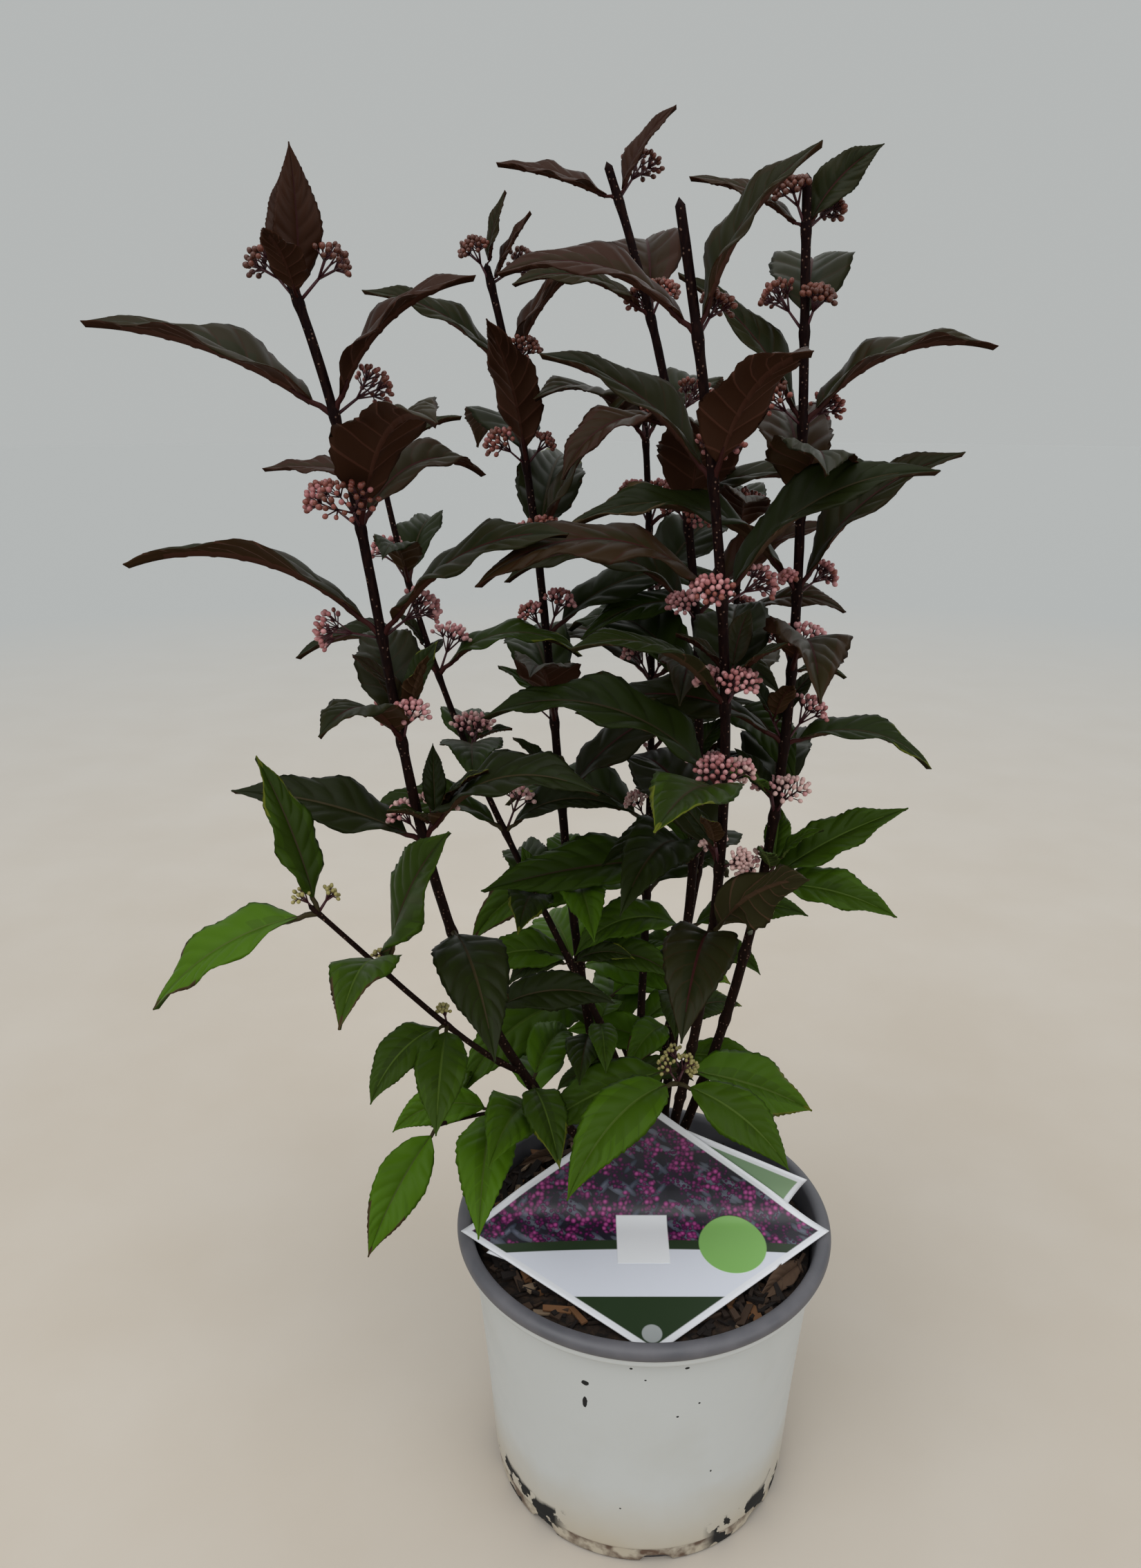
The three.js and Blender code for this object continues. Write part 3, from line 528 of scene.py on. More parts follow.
in_band = over(card_print, above_bow(card_print, u, v, BAND_EDGE, BAND_BOW), 0)
in_picture = over(card_print, above_bow(card_print, u, v, PICTURE_EDGE, PICTURE_BOW), 0)
in_tip = under(card_print, off_disc(card_print, u, v, TIP_DISC["middle"], TIP_DISC["radius"]), 0)
in_edge = under(card_print, inside, CARD_EDGE)
in_plate = under(card_print, off_plate(card_print, u, v, PLATE["middle"], PLATE["half"]), 0)
in_sticker = under(card_print, off_disc(card_print, u, v, STICKER["middle"], STICKER["radius"]), 0)
card_layers = [
    (below_tip, CARD_GREEN), (in_band, CARD_GREEN), (in_picture, picture), (in_tip, CARD_GREY),
    (in_edge, CARD_WHITE), (in_plate, PLATE["colour"]), (in_sticker, STICKER["colour"]),
]
into_shader(card_print, "Base Color", layered(card_print, CARD_PALE, card_layers))
raised(card_print, worked(card_print, "MAXIMUM", in_plate, in_sticker), 0.0002, 0.8)

back_print = plain("back_card_print", CARD_WHITE, 0.3)
u, v, inside = card_frame(back_print)
tint = mixed(back_print, mapped(back_print, v, -40, 40), *BACK_TINTS)
in_edge = under(back_print, inside, CARD_EDGE)
into_shader(back_print, "Base Color", mixed(back_print, in_edge, tint, CARD_WHITE))

for card_name, printed, node, name_of_slot, lie in (
    ("picture_card", card_print, "plant_card", "card", {}),
    ("picture_card_back", back_print, "plant_card_back", "card_back", BACK_CARD),
):
    card = shown(card_name, bent_card(card_name, **lie), [printed, card_white])
    body = card.modifiers.new("thickness", "SOLIDIFY")
    body.thickness = CARD["thick"] * MM
    body.offset = -1
    body.material_offset = 1
    body.material_offset_rim = 1
    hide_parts(node)

# Root collar. The cut-back woody stump that all the shoots spring from, half sunk in the compost, with the
# same dark, dotted bark as they have.
COLLAR = {"x": 3, "y": 27, "height": 14, "ring": 9, "core": 5}
COLLAR_OUTLINE = [(0, 0), (19, 0), (17.5, 2), (15.2, 5), (14.4, 9), (14.2, 12), (12.6, 13.8), (0, 14)]
COLLAR_LUMPS = [(1.1, 90), (0.5, 260)]  # height, and how many to a metre
SOIL_GAP = 0.3
OLD_BARK, YOUNG_BARK = (0.01, 0.005, 0.003), (0.006, 0.0018, 0.002)
WORN_BARK, PORE = (0.019, 0.007, 0.005), (0.2, 0.12, 0.09)

bark = plain("bark", (0.009, 0.004, 0.004), 0.7, 0.06)
bark_at = object_coords(bark)
streaks = add_node(bark, "ShaderNodeMapping", {"Scale": (1, 1, 0.25)}, {"Vector": bark_at}).outputs[0]
fibres = cloud(bark, streaks, 900, 6)
dots = add_node(bark, "ShaderNodeTexVoronoi", {"Scale": 700}, {"Vector": bark_at}).outputs
dot_kind = add_node(bark, "ShaderNodeSeparateColor", {}, {0: dots["Color"]}).outputs[0]
in_dot = mapped(bark, dots["Distance"], 0.3, 0.16)
pores = worked(bark, "MULTIPLY", in_dot, mapped(bark, dot_kind, 0.55, 0.65))
young = mapped(bark, sides_of(bark, bark_at)["Z"], 0.15, 0.45)
bark_colour = mixed(bark, young, OLD_BARK, YOUNG_BARK)
worn = mapped(bark, fibres, 0.45, 0.7, 0, 0.7)
pale_pores = worked(bark, "MULTIPLY", pores, 0.7)
into_shader(bark, "Base Color", layered(bark, bark_colour, [(worn, WORN_BARK), (pale_pores, PORE)]))
raised(bark, worked(bark, "ADD", fibres, pores), 0.0003, 0.6)

bm = turned(softened(COLLAR_OUTLINE, 2), 72)
collar_foot = Vector((COLLAR["x"], COLLAR["y"], SOIL_TOP + SOIL_GAP)) * MM
collar_core = Vector((COLLAR["x"], COLLAR["y"], SOIL_TOP + COLLAR["core"])) * MM
for vert in bm.verts:
    lump = sum(height * noise.noise(vert.co * fine) for height, fine in COLLAR_LUMPS)
    vert.co += collar_foot
    vert.co += (vert.co - collar_core).normalized() * lump * MM
collar = shown("root_stump", mesh_from(bm, "root_stump"), [bark])
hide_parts("root_collar")

# Shoots. Upright year-old wood, purple-brown and dotted with pale pores, a little swollen at each leaf
# pair. Eight spring from the stump, and thin low branches leave three of them.

# Leaf pairs sit between two shares of a shoot's length, each turned a quarter from the last, and facing is
# the way the topmost points, in degrees. By pair and side, aims are the tips of single leaves, some with half
# the leaf's own bend; shades make a leaf greener, below 0, or browner; faces are its own twist; bunches are
# the turn, lift and size of single bunches; and bare buds bear no leaf.
SHOOTS = [
    {
        "name": "left", "knee": (-119, -37, 264), "shoulder": (-85, -32, 421), "tip": (-127, -40, 534),
        "girth": 5, "pairs": 7, "lowest": 0.37, "topmost": 0.965, "facing": 90, "bare": ((6, 0), (7, 1)),
        "aims": {
            (0, 0): (-136, -28, 566), (0, 1): (-124, -64, 552), (1, 0): (-199, -30, 517, 18),
            (1, 1): (-64, -44, 530), (2, 0): (-66, 10, 464), (2, 1): (-71, -110, 486),
            (3, 0): (-193, -34, 436, 37), (3, 1): (-34, -62, 450, 31), (4, 0): (-116, 34, 400),
            (4, 1): (-114, -95, 390), (5, 0): (-165, -25, 348, 14), (5, 1): (-23, -62, 359),
            (6, 1): (-60, -95, 271),
        },
        "shades": {(0, 0): 0.04, (1, 0): -0.08, (3, 0): 0.02, (4, 1): 0.06, (5, 0): 0.06},
        "faces": {(1, 0): 8, (3, 0): -12},
        "bunches": {
            (0, 0): (175, 50, 1), (0, 1): (5, 46, 1.05), (2, 0): (265, 35, 1.15), (2, 1): (190, 40, 1.05),
            (3, 0): (178, 32, 1.15), (3, 1): (5, 42, 1.15),
        },
    },
    {
        "name": "right", "knee": (67, -2, 310), "shoulder": (57, 10, 414), "tip": (48, -4, 566),
        "girth": 5.2, "pairs": 9, "lowest": 0.34, "topmost": 0.96, "facing": 0, "bare": ((1, 1), (7, 0)),
        "aims": {
            (0, 0): (71, 2, 580), (0, 1): (8, 4, 566, 20), (2, 0): (122, 0, 510, 38),
            (2, 1): (6, 16, 536, 20), (3, 0): (46, -80, 470), (4, 0): (110, 0, 477), (5, 0): (78, 8, 385),
            (5, 1): (48, -84, 398), (6, 1): (115, 5, 347, 40), (8, 0): (101, -14, 289, 20),
            (8, 1): (108, 8, 329, 12),
        },
        "shades": {(0, 0): -0.3, (2, 0): -0.1, (8, 0): -0.25, (8, 1): -0.22},
        "faces": {(0, 0): -65, (2, 0): -8},
    },
    {
        "name": "front", "knee": (26, -12, 264), "shoulder": (38, -46, 354), "tip": (-1, -64, 550),
        "girth": 5, "pairs": 7, "lowest": 0.41, "topmost": 0.93, "facing": 180, "bare": ((5, 0),),
        "aims": {
            (0, 0): (-45, -62, 551, 38), (0, 1): (37, -66, 567, 25), (1, 0): (-25, -44, 526, 26),
            (1, 1): (31, -104, 514, 36), (2, 0): (-65, -60, 438), (2, 1): (80, -56, 480, 36),
            (3, 1): (-34, -78, 415), (4, 1): (-8, -118, 366, 20), (6, 0): (6, -86, 273),
            (6, 1): (40, -60, 357, 14),
        },
        # Leaf (4, 1) is shaded greener and lighter than its height gives: partly its own green, partly a
        # painted sheen of light on its folded face.
        "shades": {(4, 1): -0.2, (6, 0): 0.3, (6, 1): -0.06},
        "faces": {(6, 1): 120},
        "bunches": {
            (3, 1): (294, 52, 0.9), (4, 1): (30, 50, 0.75), (5, 0): (320, 34, 0.7), (5, 1): (120, 58, 0.7),
        },
    },
    {
        "name": "middle", "knee": (18, 34, 260), "shoulder": (46, 42, 400), "tip": (-20, 42, 577),
        "girth": 5, "pairs": 8, "lowest": 0.4, "topmost": 0.975, "facing": 0, "bare": ((2, 0), (6, 1)),
        "aims": {
            (0, 0): (6, 42, 596), (0, 1): (-62, 44, 577, 10), (1, 1): (-56, 30, 533, 36),
            (2, 1): (-37, 10, 462), (4, 0): (80, 62, 440), (7, 1): (-72, 6, 292, 10),
        },
        "shades": {(7, 0): 0.03, (7, 1): -0.14},
    },
    {
        "name": "back_left", "knee": (-47, 17, 266), "shoulder": (-33, 80, 408), "tip": (-69, 78, 545),
        "girth": 4.8, "pairs": 7, "lowest": 0.45, "topmost": 0.98, "facing": 0, "bare": ((4, 1), (6, 0)),
        "aims": {
            (0, 0): (-62, 78, 569), (0, 1): (-90, 74, 566), (1, 0): (-120, 70, 534, 25),
            (1, 1): (-28, 74, 555, 28), (2, 0): (-80, 150, 468), (2, 1): (-66, 30, 521),
            (3, 0): (-6, 62, 496),
        },
    },
    {
        "name": "far_left", "knee": (2, 5, 225), "shoulder": (-92, 53, 309), "tip": (-114, 50, 474),
        "girth": 3.8, "vigour": 0.66, "pairs": 6, "lowest": 0.5, "topmost": 0.97, "facing": 0,
        "aims": {(0, 0): (-80, 50, 487), (0, 1): (-162, 50, 464, 12)},
    },
    {
        "name": "back", "knee": (2, 52, 240), "shoulder": (10, 94, 350), "tip": (0, 106, 484),
        "girth": 4.4, "pairs": 7, "lowest": 0.4, "topmost": 0.97, "facing": 45, "bare": ((1, 0), (4, 1)),
    },
    {
        "name": "back_right", "knee": (16, 48, 230), "shoulder": (44, 84, 330), "tip": (44, 88, 440),
        "girth": 4, "vigour": 0.8, "pairs": 5, "lowest": 0.48, "topmost": 0.97, "facing": 70,
        "bare": ((3, 0),), "aims": {(1, 1): (88, 60, 402)},
    },
]
BRANCHES = [  # each leaves its parent shoot at a share of that shoot's length
    {
        "name": "low_left", "parent": "left", "leaves": 0.19, "knee": (-74, -34, 236),
        "shoulder": (-104, -46, 280), "tip": (-131, -56, 314), "girth": 3, "pairs": 3, "lowest": 0.42,
        "topmost": 0.96, "facing": 0,
        "aims": {
            (0, 0): (-147, -50, 370), (0, 1): (-192, -60, 272, 24), (1, 0): (-76, -72, 349),
            (1, 1): (-110, -114, 295), (2, 0): (-84, -80, 230), (2, 1): (-111, -64, 233),
        },
        "shades": {(0, 0): -0.14, (0, 1): -0.36, (1, 0): -0.08, (1, 1): -0.12, (2, 1): 0.02},
        "faces": {(1, 0): -75},
    },
    {
        "name": "rim_left", "parent": "left", "leaves": 0.1, "knee": (-40, 12, 184),
        "shoulder": (-64, 6, 186), "tip": (-96, -8, 184), "girth": 2.6, "pairs": 3, "lowest": 0.4,
        "topmost": 0.96, "facing": 90,
        "aims": {
            (0, 1): (-120, -44, 144, 18), (1, 0): (-114, -2, 177, 44), (1, 1): (-71, -62, 168),
            (2, 0): (-66, -52, 207),
        },
        "shades": {(0, 1): -0.26, (1, 1): -0.12},
    },
    {
        "name": "rim_front", "parent": "front", "leaves": 0.2, "knee": (16, 6, 212),
        "shoulder": (14, -6, 212), "tip": (12, -20, 213), "girth": 2.6, "pairs": 2, "lowest": 0.62,
        "topmost": 0.95, "facing": 0, "budded": True,
        "aims": {
            (0, 0): (57, -44, 188, 28), (0, 1): (-35, -66, 190), (1, 0): (75, 26, 176, 10),
            (1, 1): (-48, -20, 190, 20),
        },
        "shades": {(0, 0): 0.02, (0, 1): -0.08, (1, 1): 0.04},
    },
    {
        "name": "rim_back", "parent": "back", "leaves": 0.12, "knee": (-4, 60, 180),
        "shoulder": (-16, 78, 196), "tip": (-34, 92, 214), "girth": 2.6, "pairs": 3, "lowest": 0.4,
        "topmost": 0.95, "facing": 120,
    },
]
ORDINARY = {
    "vigour": 1, "budded": False, "bare": (), "aims": {}, "shades": {}, "faces": {}, "bunches": {},
}
SUNK = 4  # how deep a shoot's foot sits in the stump
TIP_SHARE = 0.68  # the wood stays this thick up to its cut tip
LEAN_WOOD = 0.92
TUBE = {"sides": 12, "pitch": 1.7, "bumps": 0.07, "ribs": 0.03, "rib_count": 4}
PAIR_SWELL = {"size": 0.24, "reach": 2.6}


def on_curve(points, share):
    """Places on a cubic curve, at one share of it or at many."""
    t = np.asarray(share, float)[..., None]
    a, b, c, d = points
    return a * (1 - t) ** 3 + 3 * b * t * (1 - t) ** 2 + 3 * c * t * t * (1 - t) + d * t**3


def heading(points, share):
    """The directions of a curve."""
    t = np.clip(np.asarray(share, float), 0, 1)
    step = 1e-4
    ahead = on_curve(points, np.minimum(t + step, 1)) - on_curve(points, np.maximum(t - step, 0))
    return ahead / np.linalg.norm(ahead, axis=-1, keepdims=True)


def rings_along(points, shares):
    """The middles of rings along a curve, with their directions ahead and across."""
    aheads = heading(points, shares)
    across = np.cross((0, 1, 0), aheads)
    return on_curve(points, shares), aheads, across / np.linalg.norm(across, axis=1, keepdims=True)


def curve_length(points):
    trail = on_curve(points, np.linspace(0, 1, 201))
    return np.linalg.norm(np.diff(trail, axis=0), axis=1).sum()


def pair_share(shoot, pair):
    return shoot["topmost"] + (shoot["lowest"] - shoot["topmost"]) * pair / (shoot["pairs"] - 1)


def lean(shoot):
    return math.atan2(shoot["knee"][1] - COLLAR["y"], shoot["knee"][0] - COLLAR["x"])


growing = []
for index, shoot in enumerate(SHOOTS + BRANCHES):
    if "parent" not in shoot:
        a = sorted(SHOOTS, key=lean).index(shoot) / len(SHOOTS) * 2 * math.pi - math.pi
        foot = (
            COLLAR["x"] + COLLAR["ring"] * math.cos(a), COLLAR["y"] + COLLAR["ring"] * math.sin(a),
            SOIL_TOP + SOIL_GAP + COLLAR["height"] - SUNK,
        )
    else:
        parent = next(one for one in growing if one["name"] == shoot["parent"])
        foot = on_curve(parent["curve"], shoot["leaves"])
    curve = [np.array(spot, float) for spot in (foot, shoot["knee"], shoot["shoulder"], shoot["tip"])]
    growing.append({**ORDINARY, **shoot, "index": index, "curve": curve, "length": curve_length(curve)})

for shoot in growing:
    rings = round(shoot["length"] / TUBE["pitch"])
    bm = bmesh.new()
    bmesh.ops.create_grid(bm, x_segments=TUBE["sides"], y_segments=rings, size=0.5)
    shares = np.linspace(0, 1, rings + 1)
    middles, aheads, across = rings_along(shoot["curve"], shares)
    outs = np.cross(aheads, across)
    radii = LEAN_WOOD * shoot["girth"] * (1 + (TIP_SHARE - 1) * shares) / 2
    spacing = (shoot["topmost"] - shoot["lowest"]) / (shoot["pairs"] - 1)
    swollen = [pair_share(shoot, pair) for pair in range(shoot["pairs"])]
    swollen += [shoot["lowest"] - spacing * (i + 1) for i in range(int(shoot["lowest"] / spacing))]
    for at in swollen:
        off = (shares - at) * shoot["length"] / PAIR_SWELL["reach"]
        radii *= 1 + PAIR_SWELL["size"] * np.exp(-(off**2))
    radii *= np.minimum(1, np.sqrt(np.minimum(shares * rings, (1 - shares) * rings)))
    for vert in bm.verts:
        ring, turn = round((vert.co.y + 0.5) * rings), (vert.co.x + 0.5) * 2 * math.pi
        sweep = math.cos(turn) * across[ring] + math.sin(turn) * outs[ring]
        bump = noise.noise(Vector(middles[ring] * 0.12 + sweep * 1.3))
        ridged = 1 + TUBE["bumps"] * bump + TUBE["ribs"] * math.cos(TUBE["rib_count"] * turn)
        vert.co = Vector(middles[ring] + sweep * radii[ring] * ridged) * MM
    bmesh.ops.remove_doubles(bm, verts=bm.verts, dist=2e-6)
    bmesh.ops.recalc_face_normals(bm, faces=bm.faces)
    tube = shown(f"shoot_{shoot['name']}", mesh_from(bm, f"shoot_{shoot['name']}"), [bark])
    if "parent" not in shoot:
        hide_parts(f"stem_{shoot['name']}")

# Leaves. Thin, toothed and drawn out to a point, in opposite pairs on short stalks. The low ones are green,
# the upper ones turn olive and purple, paler brown below. Each is set where it is clear of the others.
SEED = 41
WORD = 0xFFFFFFFF
CROWN_LOW, CROWN_HIGH = 190, 545
LEAF = {
    "length": (88, 104, 92), "young": 0.8, "width_share": 0.165, "lift": (30, 52, 68),
    "droop": (-50, -28, -16), "steepest": 76, "least_bend": 8, "thick_share": 0.013, "fold": 16,
}
LEAF_STATIONS = np.array([0, 0.1, 0.38, 0.72, 1])
LEAF_OUTLINE = np.array([0.075, 0.09, 1, 0.76, 0])
LEAF_SPREAD = {"turn": 16, "lift": 12, "droop": 18, "length": 0.12, "breadth": 0.12, "fold": 8, "roll": 26}
TWISTED_BY = 2.2  # a leaf's own twist is complete this many times sooner than its roll
BUNCH = {"above": 290, "swing": 24, "lift": 58, "size": 0.95, "reach": 19, "sides": 5, "flatness": 0.72}
BUNCH_STATIONS = np.array([0, 0.5, 0.82, 1])
BUNCH_RADII = np.array([0.5, 0.8, 8.6, 0])
BUNCH_SPREAD = {"turn": 20, "lift": 10, "size": 0.18}
LIMB_SIDES, LIMB_STEP, LIMB_TIP = 5, 19, 2
ROOM = 0.7  # air round a plain form
NUDGES = [  # turns and lifts that are tried in this order
    (0, 0), (4, 0), (-4, 0), (0, 4), (0, -4), (9, 0), (-9, 0), (0, 9), (0, -9), (20, 6), (-20, 6), (20, -8),
    (-20, -8), (0, 22), (32, 0), (-32, 0), (0, -22), (34, 16), (-34, 16), (34, -16), (-34, -16),
]
SHORTER = (1, 0.86)
SMALL_BUNCHES = (0.78, 0.56)  # tried where a full bunch finds no room
STILL = -1  # the owner of what doesn't grow
UP = np.array([0, 0, 1.0])


def chance(shoot, pair, side, use):
    """A repeatable number from 0 to 1 for one leaf or bunch and one use of it."""
    n = (SEED + shoot * 7919 + pair * 613 + side * 131 + use * 17) & WORD
    n = ((n ^ (n >> 15)) * 2246822519) & WORD
    n = ((n ^ (n >> 13)) * 3266489917) & WORD
    return (n ^ (n >> 16)) / (WORD + 1)


def wobble(shoot, pair, side, use, size):
    return (2 * chance(shoot, pair, side, use) - 1) * size


def own_spread(bud, spreads, first_use=0):
    """How far one leaf or bunch departs from the rule in each of its measures."""
    return {key: wobble(*bud, first_use + i, size) for i, (key, size) in enumerate(spreads.items())}


def by_height(values, z):
    """A value given for the bottom, the middle and the top of the crown, at a height."""
    return float(np.interp(z, (CROWN_LOW, (CROWN_LOW + CROWN_HIGH) / 2, CROWN_HIGH), values))


def midrib(leaf, share):
    """Middles of a leaf's midrib at shares of its length, and its directions across and above."""
    start, bend = math.radians(leaf["lift"]), math.radians(leaf["droop"] - leaf["lift"])
    angle = (start + bend * share)[:, None]
    run = leaf["length"] * (np.sin(angle) - math.sin(start)) / bend
    rise = leaf["length"] * (math.cos(start) - np.cos(angle)) / bend
    turn = math.radians(leaf["turn"])
    outward = np.array([math.cos(turn), math.sin(turn), 0])
    level = np.array([outward[1], -outward[0], 0])
    above = np.cross(level, np.cos(angle) * outward + np.sin(angle) * UP)
    twist = math.radians(leaf.get("face", 0)) * np.minimum(TWISTED_BY * share, 1)
    roll = (math.radians(leaf["roll"]) * share + twist)[:, None]
    return (
        leaf["root"] + run * outward + rise * UP,
        np.cos(roll) * level + np.sin(roll) * above,
        np.cos(roll) * above - np.sin(roll) * level,
    )


def ring_faces(rings, sides):
    """Quads round a tube, facing out where its rings run anticlockwise as seen from its end."""
    side = np.arange(sides)
    corners = np.stack([side, (side + 1) % sides, (side + 1) % sides + sides, side + sides], axis=1)
    return (np.arange(rings - 1)[:, None, None] * sides + corners).reshape(-1, 4).tolist()


def plain_form(rings, tip=None):
    """A simple closed form for the clearance test, with its box."""
    count, sides = rings.shape[:2]
    points = rings.reshape(-1, 3).tolist()
    quads = ring_faces(count, sides)
    faces = [(a, b, d) for a, b, c, d in quads] + [(b, c, d) for a, b, c, d in quads]
    ends = [list(range(sides))]
    if tip is None:
        ends.append(list(range(len(points) - sides, len(points))))
    else:
        points.append(list(tip))
        last = (count - 1) * sides
        faces += [(last + i, last + (i + 1) % sides, len(points) - 1) for i in range(sides)]
    for end in ends:
        points.append(np.mean([points[i] for i in end], axis=0).tolist())
        faces += [(end[i], end[(i + 1) % sides], len(points) - 1) for i in range(sides)]
    return boxed(points, faces)


def boxed(points, faces):
    form = BVHTree.FromPolygons(points, faces)
    return form, np.min(points, axis=0), np.max(points, axis=0)


def leaf_form(leaf, first):
    """The plain leaf from one of its stations on, with some air round it."""
    middles, across, above = midrib(leaf, LEAF_STATIONS[first:])
    half = (leaf["length"] * LEAF["width_share"] * leaf["breadth"] * LEAF_OUTLINE[first:-1] + ROOM)[:, None]
    thick = leaf["length"] * LEAF["thick_share"] / 2 + ROOM
    fold = math.radians(leaf["fold"])
    rings = []
    for x, z in ((0, 1), (1, 0), (0, -1), (-1, 0)):
        edge = abs(x) * half * math.sin(fold)
        rings.append(middles[:-1] + x * half * math.cos(fold) * across[:-1] + (edge + z * thick) * above[:-1])
    return plain_form(np.stack(rings, axis=1), middles[-1])


def pointing(turn, lift):
    """The direction that a turn and a lift in degrees give."""
    turn, lift = math.radians(turn), math.radians(lift)
    return np.array([math.cos(turn) * math.cos(lift), math.sin(turn) * math.cos(lift), math.sin(lift)])


def bunch_frame(bunch):
    ahead = pointing(bunch["turn"], bunch["lift"])
    broad = np.cross(UP, ahead) / np.linalg.norm(np.cross(UP, ahead))
    return ahead, broad, np.cross(broad, ahead)


def bunch_form(bunch, first):
    """The plain bunch from one of its stations on."""
    ahead, broad, deep = bunch_frame(bunch)
    turns = np.arange(BUNCH["sides"]) / BUNCH["sides"] * 2 * math.pi
    rings = []
    for share, radius in zip(BUNCH_STATIONS[first:-1], BUNCH_RADII[first:-1]):
        radius = radius * bunch["size"] + ROOM / 2
        middle = bunch["root"] + ahead * share * BUNCH["reach"] * bunch["size"]
        rings.append([
            middle + broad * math.sin(a) * radius + deep * math.cos(a) * radius * BUNCH["flatness"]
            for a in turns
        ])
    return plain_form(np.array(rings), bunch["root"] + ahead * BUNCH["reach"] * bunch["size"])


def limb_form(shoot):
    steps = max(2, math.floor(shoot["length"] / LIMB_STEP + 0.5))
    shares = np.linspace(0, 1, steps + 1)
    middles, aheads, across = rings_along(shoot["curve"], shares)
    outs = np.cross(across, aheads)
    radii = ((shoot["girth"] + (LIMB_TIP - shoot["girth"]) * shares) / 2 + SOIL_GAP)[:, None]
    turns = np.arange(LIMB_SIDES) / LIMB_SIDES * 2 * math.pi
    sides = [middles + (across * math.sin(a) + outs * math.cos(a)) * radii for a in turns]
    return plain_form(np.stack(sides, axis=1))


def aimed(leaf, tip):
    """A leaf whose tip is meant to reach a point takes its turn, lift and length from it."""
    reach = np.array(tip[:3], float) - leaf["root"]
    chord = math.degrees(math.atan2(reach[2], math.hypot(reach[0], reach[1])))
    half = min(max(LEAF["steepest"] - chord, LEAF["least_bend"]), (leaf["lift"] - leaf["droop"]) / 2)
    half = tip[3] if len(tip) > 3 else half
    bend = math.radians(half)
    turn = math.degrees(math.atan2(reach[1], reach[0]))
    length = np.linalg.norm(reach) * bend / math.sin(bend)
    return {**leaf, "turn": turn, "lift": chord + half, "droop": chord - half, "length": length}


settled = []  # the owner, the whole form and the form that siblings must clear


def is_clear(owner, whole, outer):
    for other, their_whole, their_outer in settled:
        mine, theirs = (outer, their_outer) if other == owner else (whole, their_whole)
        if (mine[1] > theirs[2]).any() or (theirs[1] > mine[2]).any():
            continue
        if mine[0].overlap(theirs[0]):
            return False
    return True


def grow(shoot, wanted):
    """Sets a leaf or a bunch at the first nudge that is clear, or leaves it out. Says whether it is set."""
    is_leaf = "droop" in wanted
    form = leaf_form if is_leaf else bunch_form
    for shorter in SHORTER if is_leaf else (1,):
        for turn, lift in NUDGES:
            tried = {**wanted, "turn": wanted["turn"] + turn, "lift": wanted["lift"] + lift}
            if is_leaf:
                tried.update(droop=wanted["droop"] + lift, length=wanted["length"] * shorter)
            whole, outer = form(tried, 0), form(tried, 1)
            if is_clear(shoot["index"], whole, outer):
                settled.append((shoot["index"], whole, outer))
                shoot["leaves_set" if is_leaf else "bunches_set"].append(tried)
                return True
    return False


def pair_turn(shoot, pair, side):
    """The way that a bud points."""
    return shoot["facing"] + pair * 90 + side * 180


def pair_root(shoot, pair):
    return on_curve(shoot["curve"], pair_share(shoot, pair))


def bud_leaf(shoot, pair, side, root, grown):
    """The leaf that one bud would make if nothing stood in its way."""
    bud = (shoot["index"], pair, side)
    spread = own_spread(bud, LEAF_SPREAD)
    return {
        "root": root,
        "turn": pair_turn(shoot, pair, side) + spread["turn"],
        "lift": by_height(LEAF["lift"], root[2]) + spread["lift"],
        "droop": by_height(LEAF["droop"], root[2]) + spread["droop"],
        "length": by_height(LEAF["length"], root[2]) * (1 + spread["length"]) * grown * shoot["vigour"],
        "breadth": 1 + spread["breadth"],
        "fold": LEAF["fold"] + spread["fold"],
        "roll": spread["roll"],
        "bud": bud,
        "shade": shoot["shades"].get((pair, side), 0),
        "own_face": shoot["faces"].get((pair, side)),
    }


for still in ("pot", "soil", "plant_card", "plant_card_back"):
    body = frame["nodes"][still].data
    form = boxed([tuple(v.co / MM) for v in body.vertices], [tuple(p.vertices) for p in body.polygons])
    settled.append((STILL, form, form))
for shoot in growing:
    form = limb_form(shoot)
    settled.append((shoot["index"], form, form))

buds = []
for shoot in growing:
    shoot["leaves_set"], shoot["bunches_set"] = [], []
    for pair in range(shoot["pairs"]):
        for side in (0, 1):
            if (pair, side) not in shoot["bare"]:
                leaf = bud_leaf(shoot, pair, side, pair_root(shoot, pair), 1 if pair else LEAF["young"])
                aim = shoot["aims"].get((pair, side))
                buds.append((shoot, aim, aimed(leaf, aim) if aim else leaf))
for with_aim in (True, False):
    for shoot, aim, leaf in buds:
        if (aim is not None) == with_aim:
            grow(shoot, leaf)
for shoot in growing:
    for pair in range(shoot["pairs"]):
        root = pair_root(shoot, pair)
        if root[2] < BUNCH["above"] and not shoot["budded"]:
            continue
        for side in (0, 1):
            bud = (shoot["index"], pair, side)
            spread = own_spread(bud, BUNCH_SPREAD, len(LEAF_SPREAD))
            bunch = {
                "root": root,
                "turn": pair_turn(shoot, pair, side) + BUNCH["swing"] + spread["turn"],
                "lift": BUNCH["lift"] + spread["lift"],
                "size": BUNCH["size"] + spread["size"],
                "bud": bud,
                "budded": shoot["budded"],
            }
            if (pair, side) in shoot["bunches"]:
                bunch.update(zip(("turn", "lift", "size"), shoot["bunches"][pair, side]))
            for size in (bunch["size"], *SMALL_BUNCHES):
                if grow(shoot, {**bunch, "size": size}):
                    break

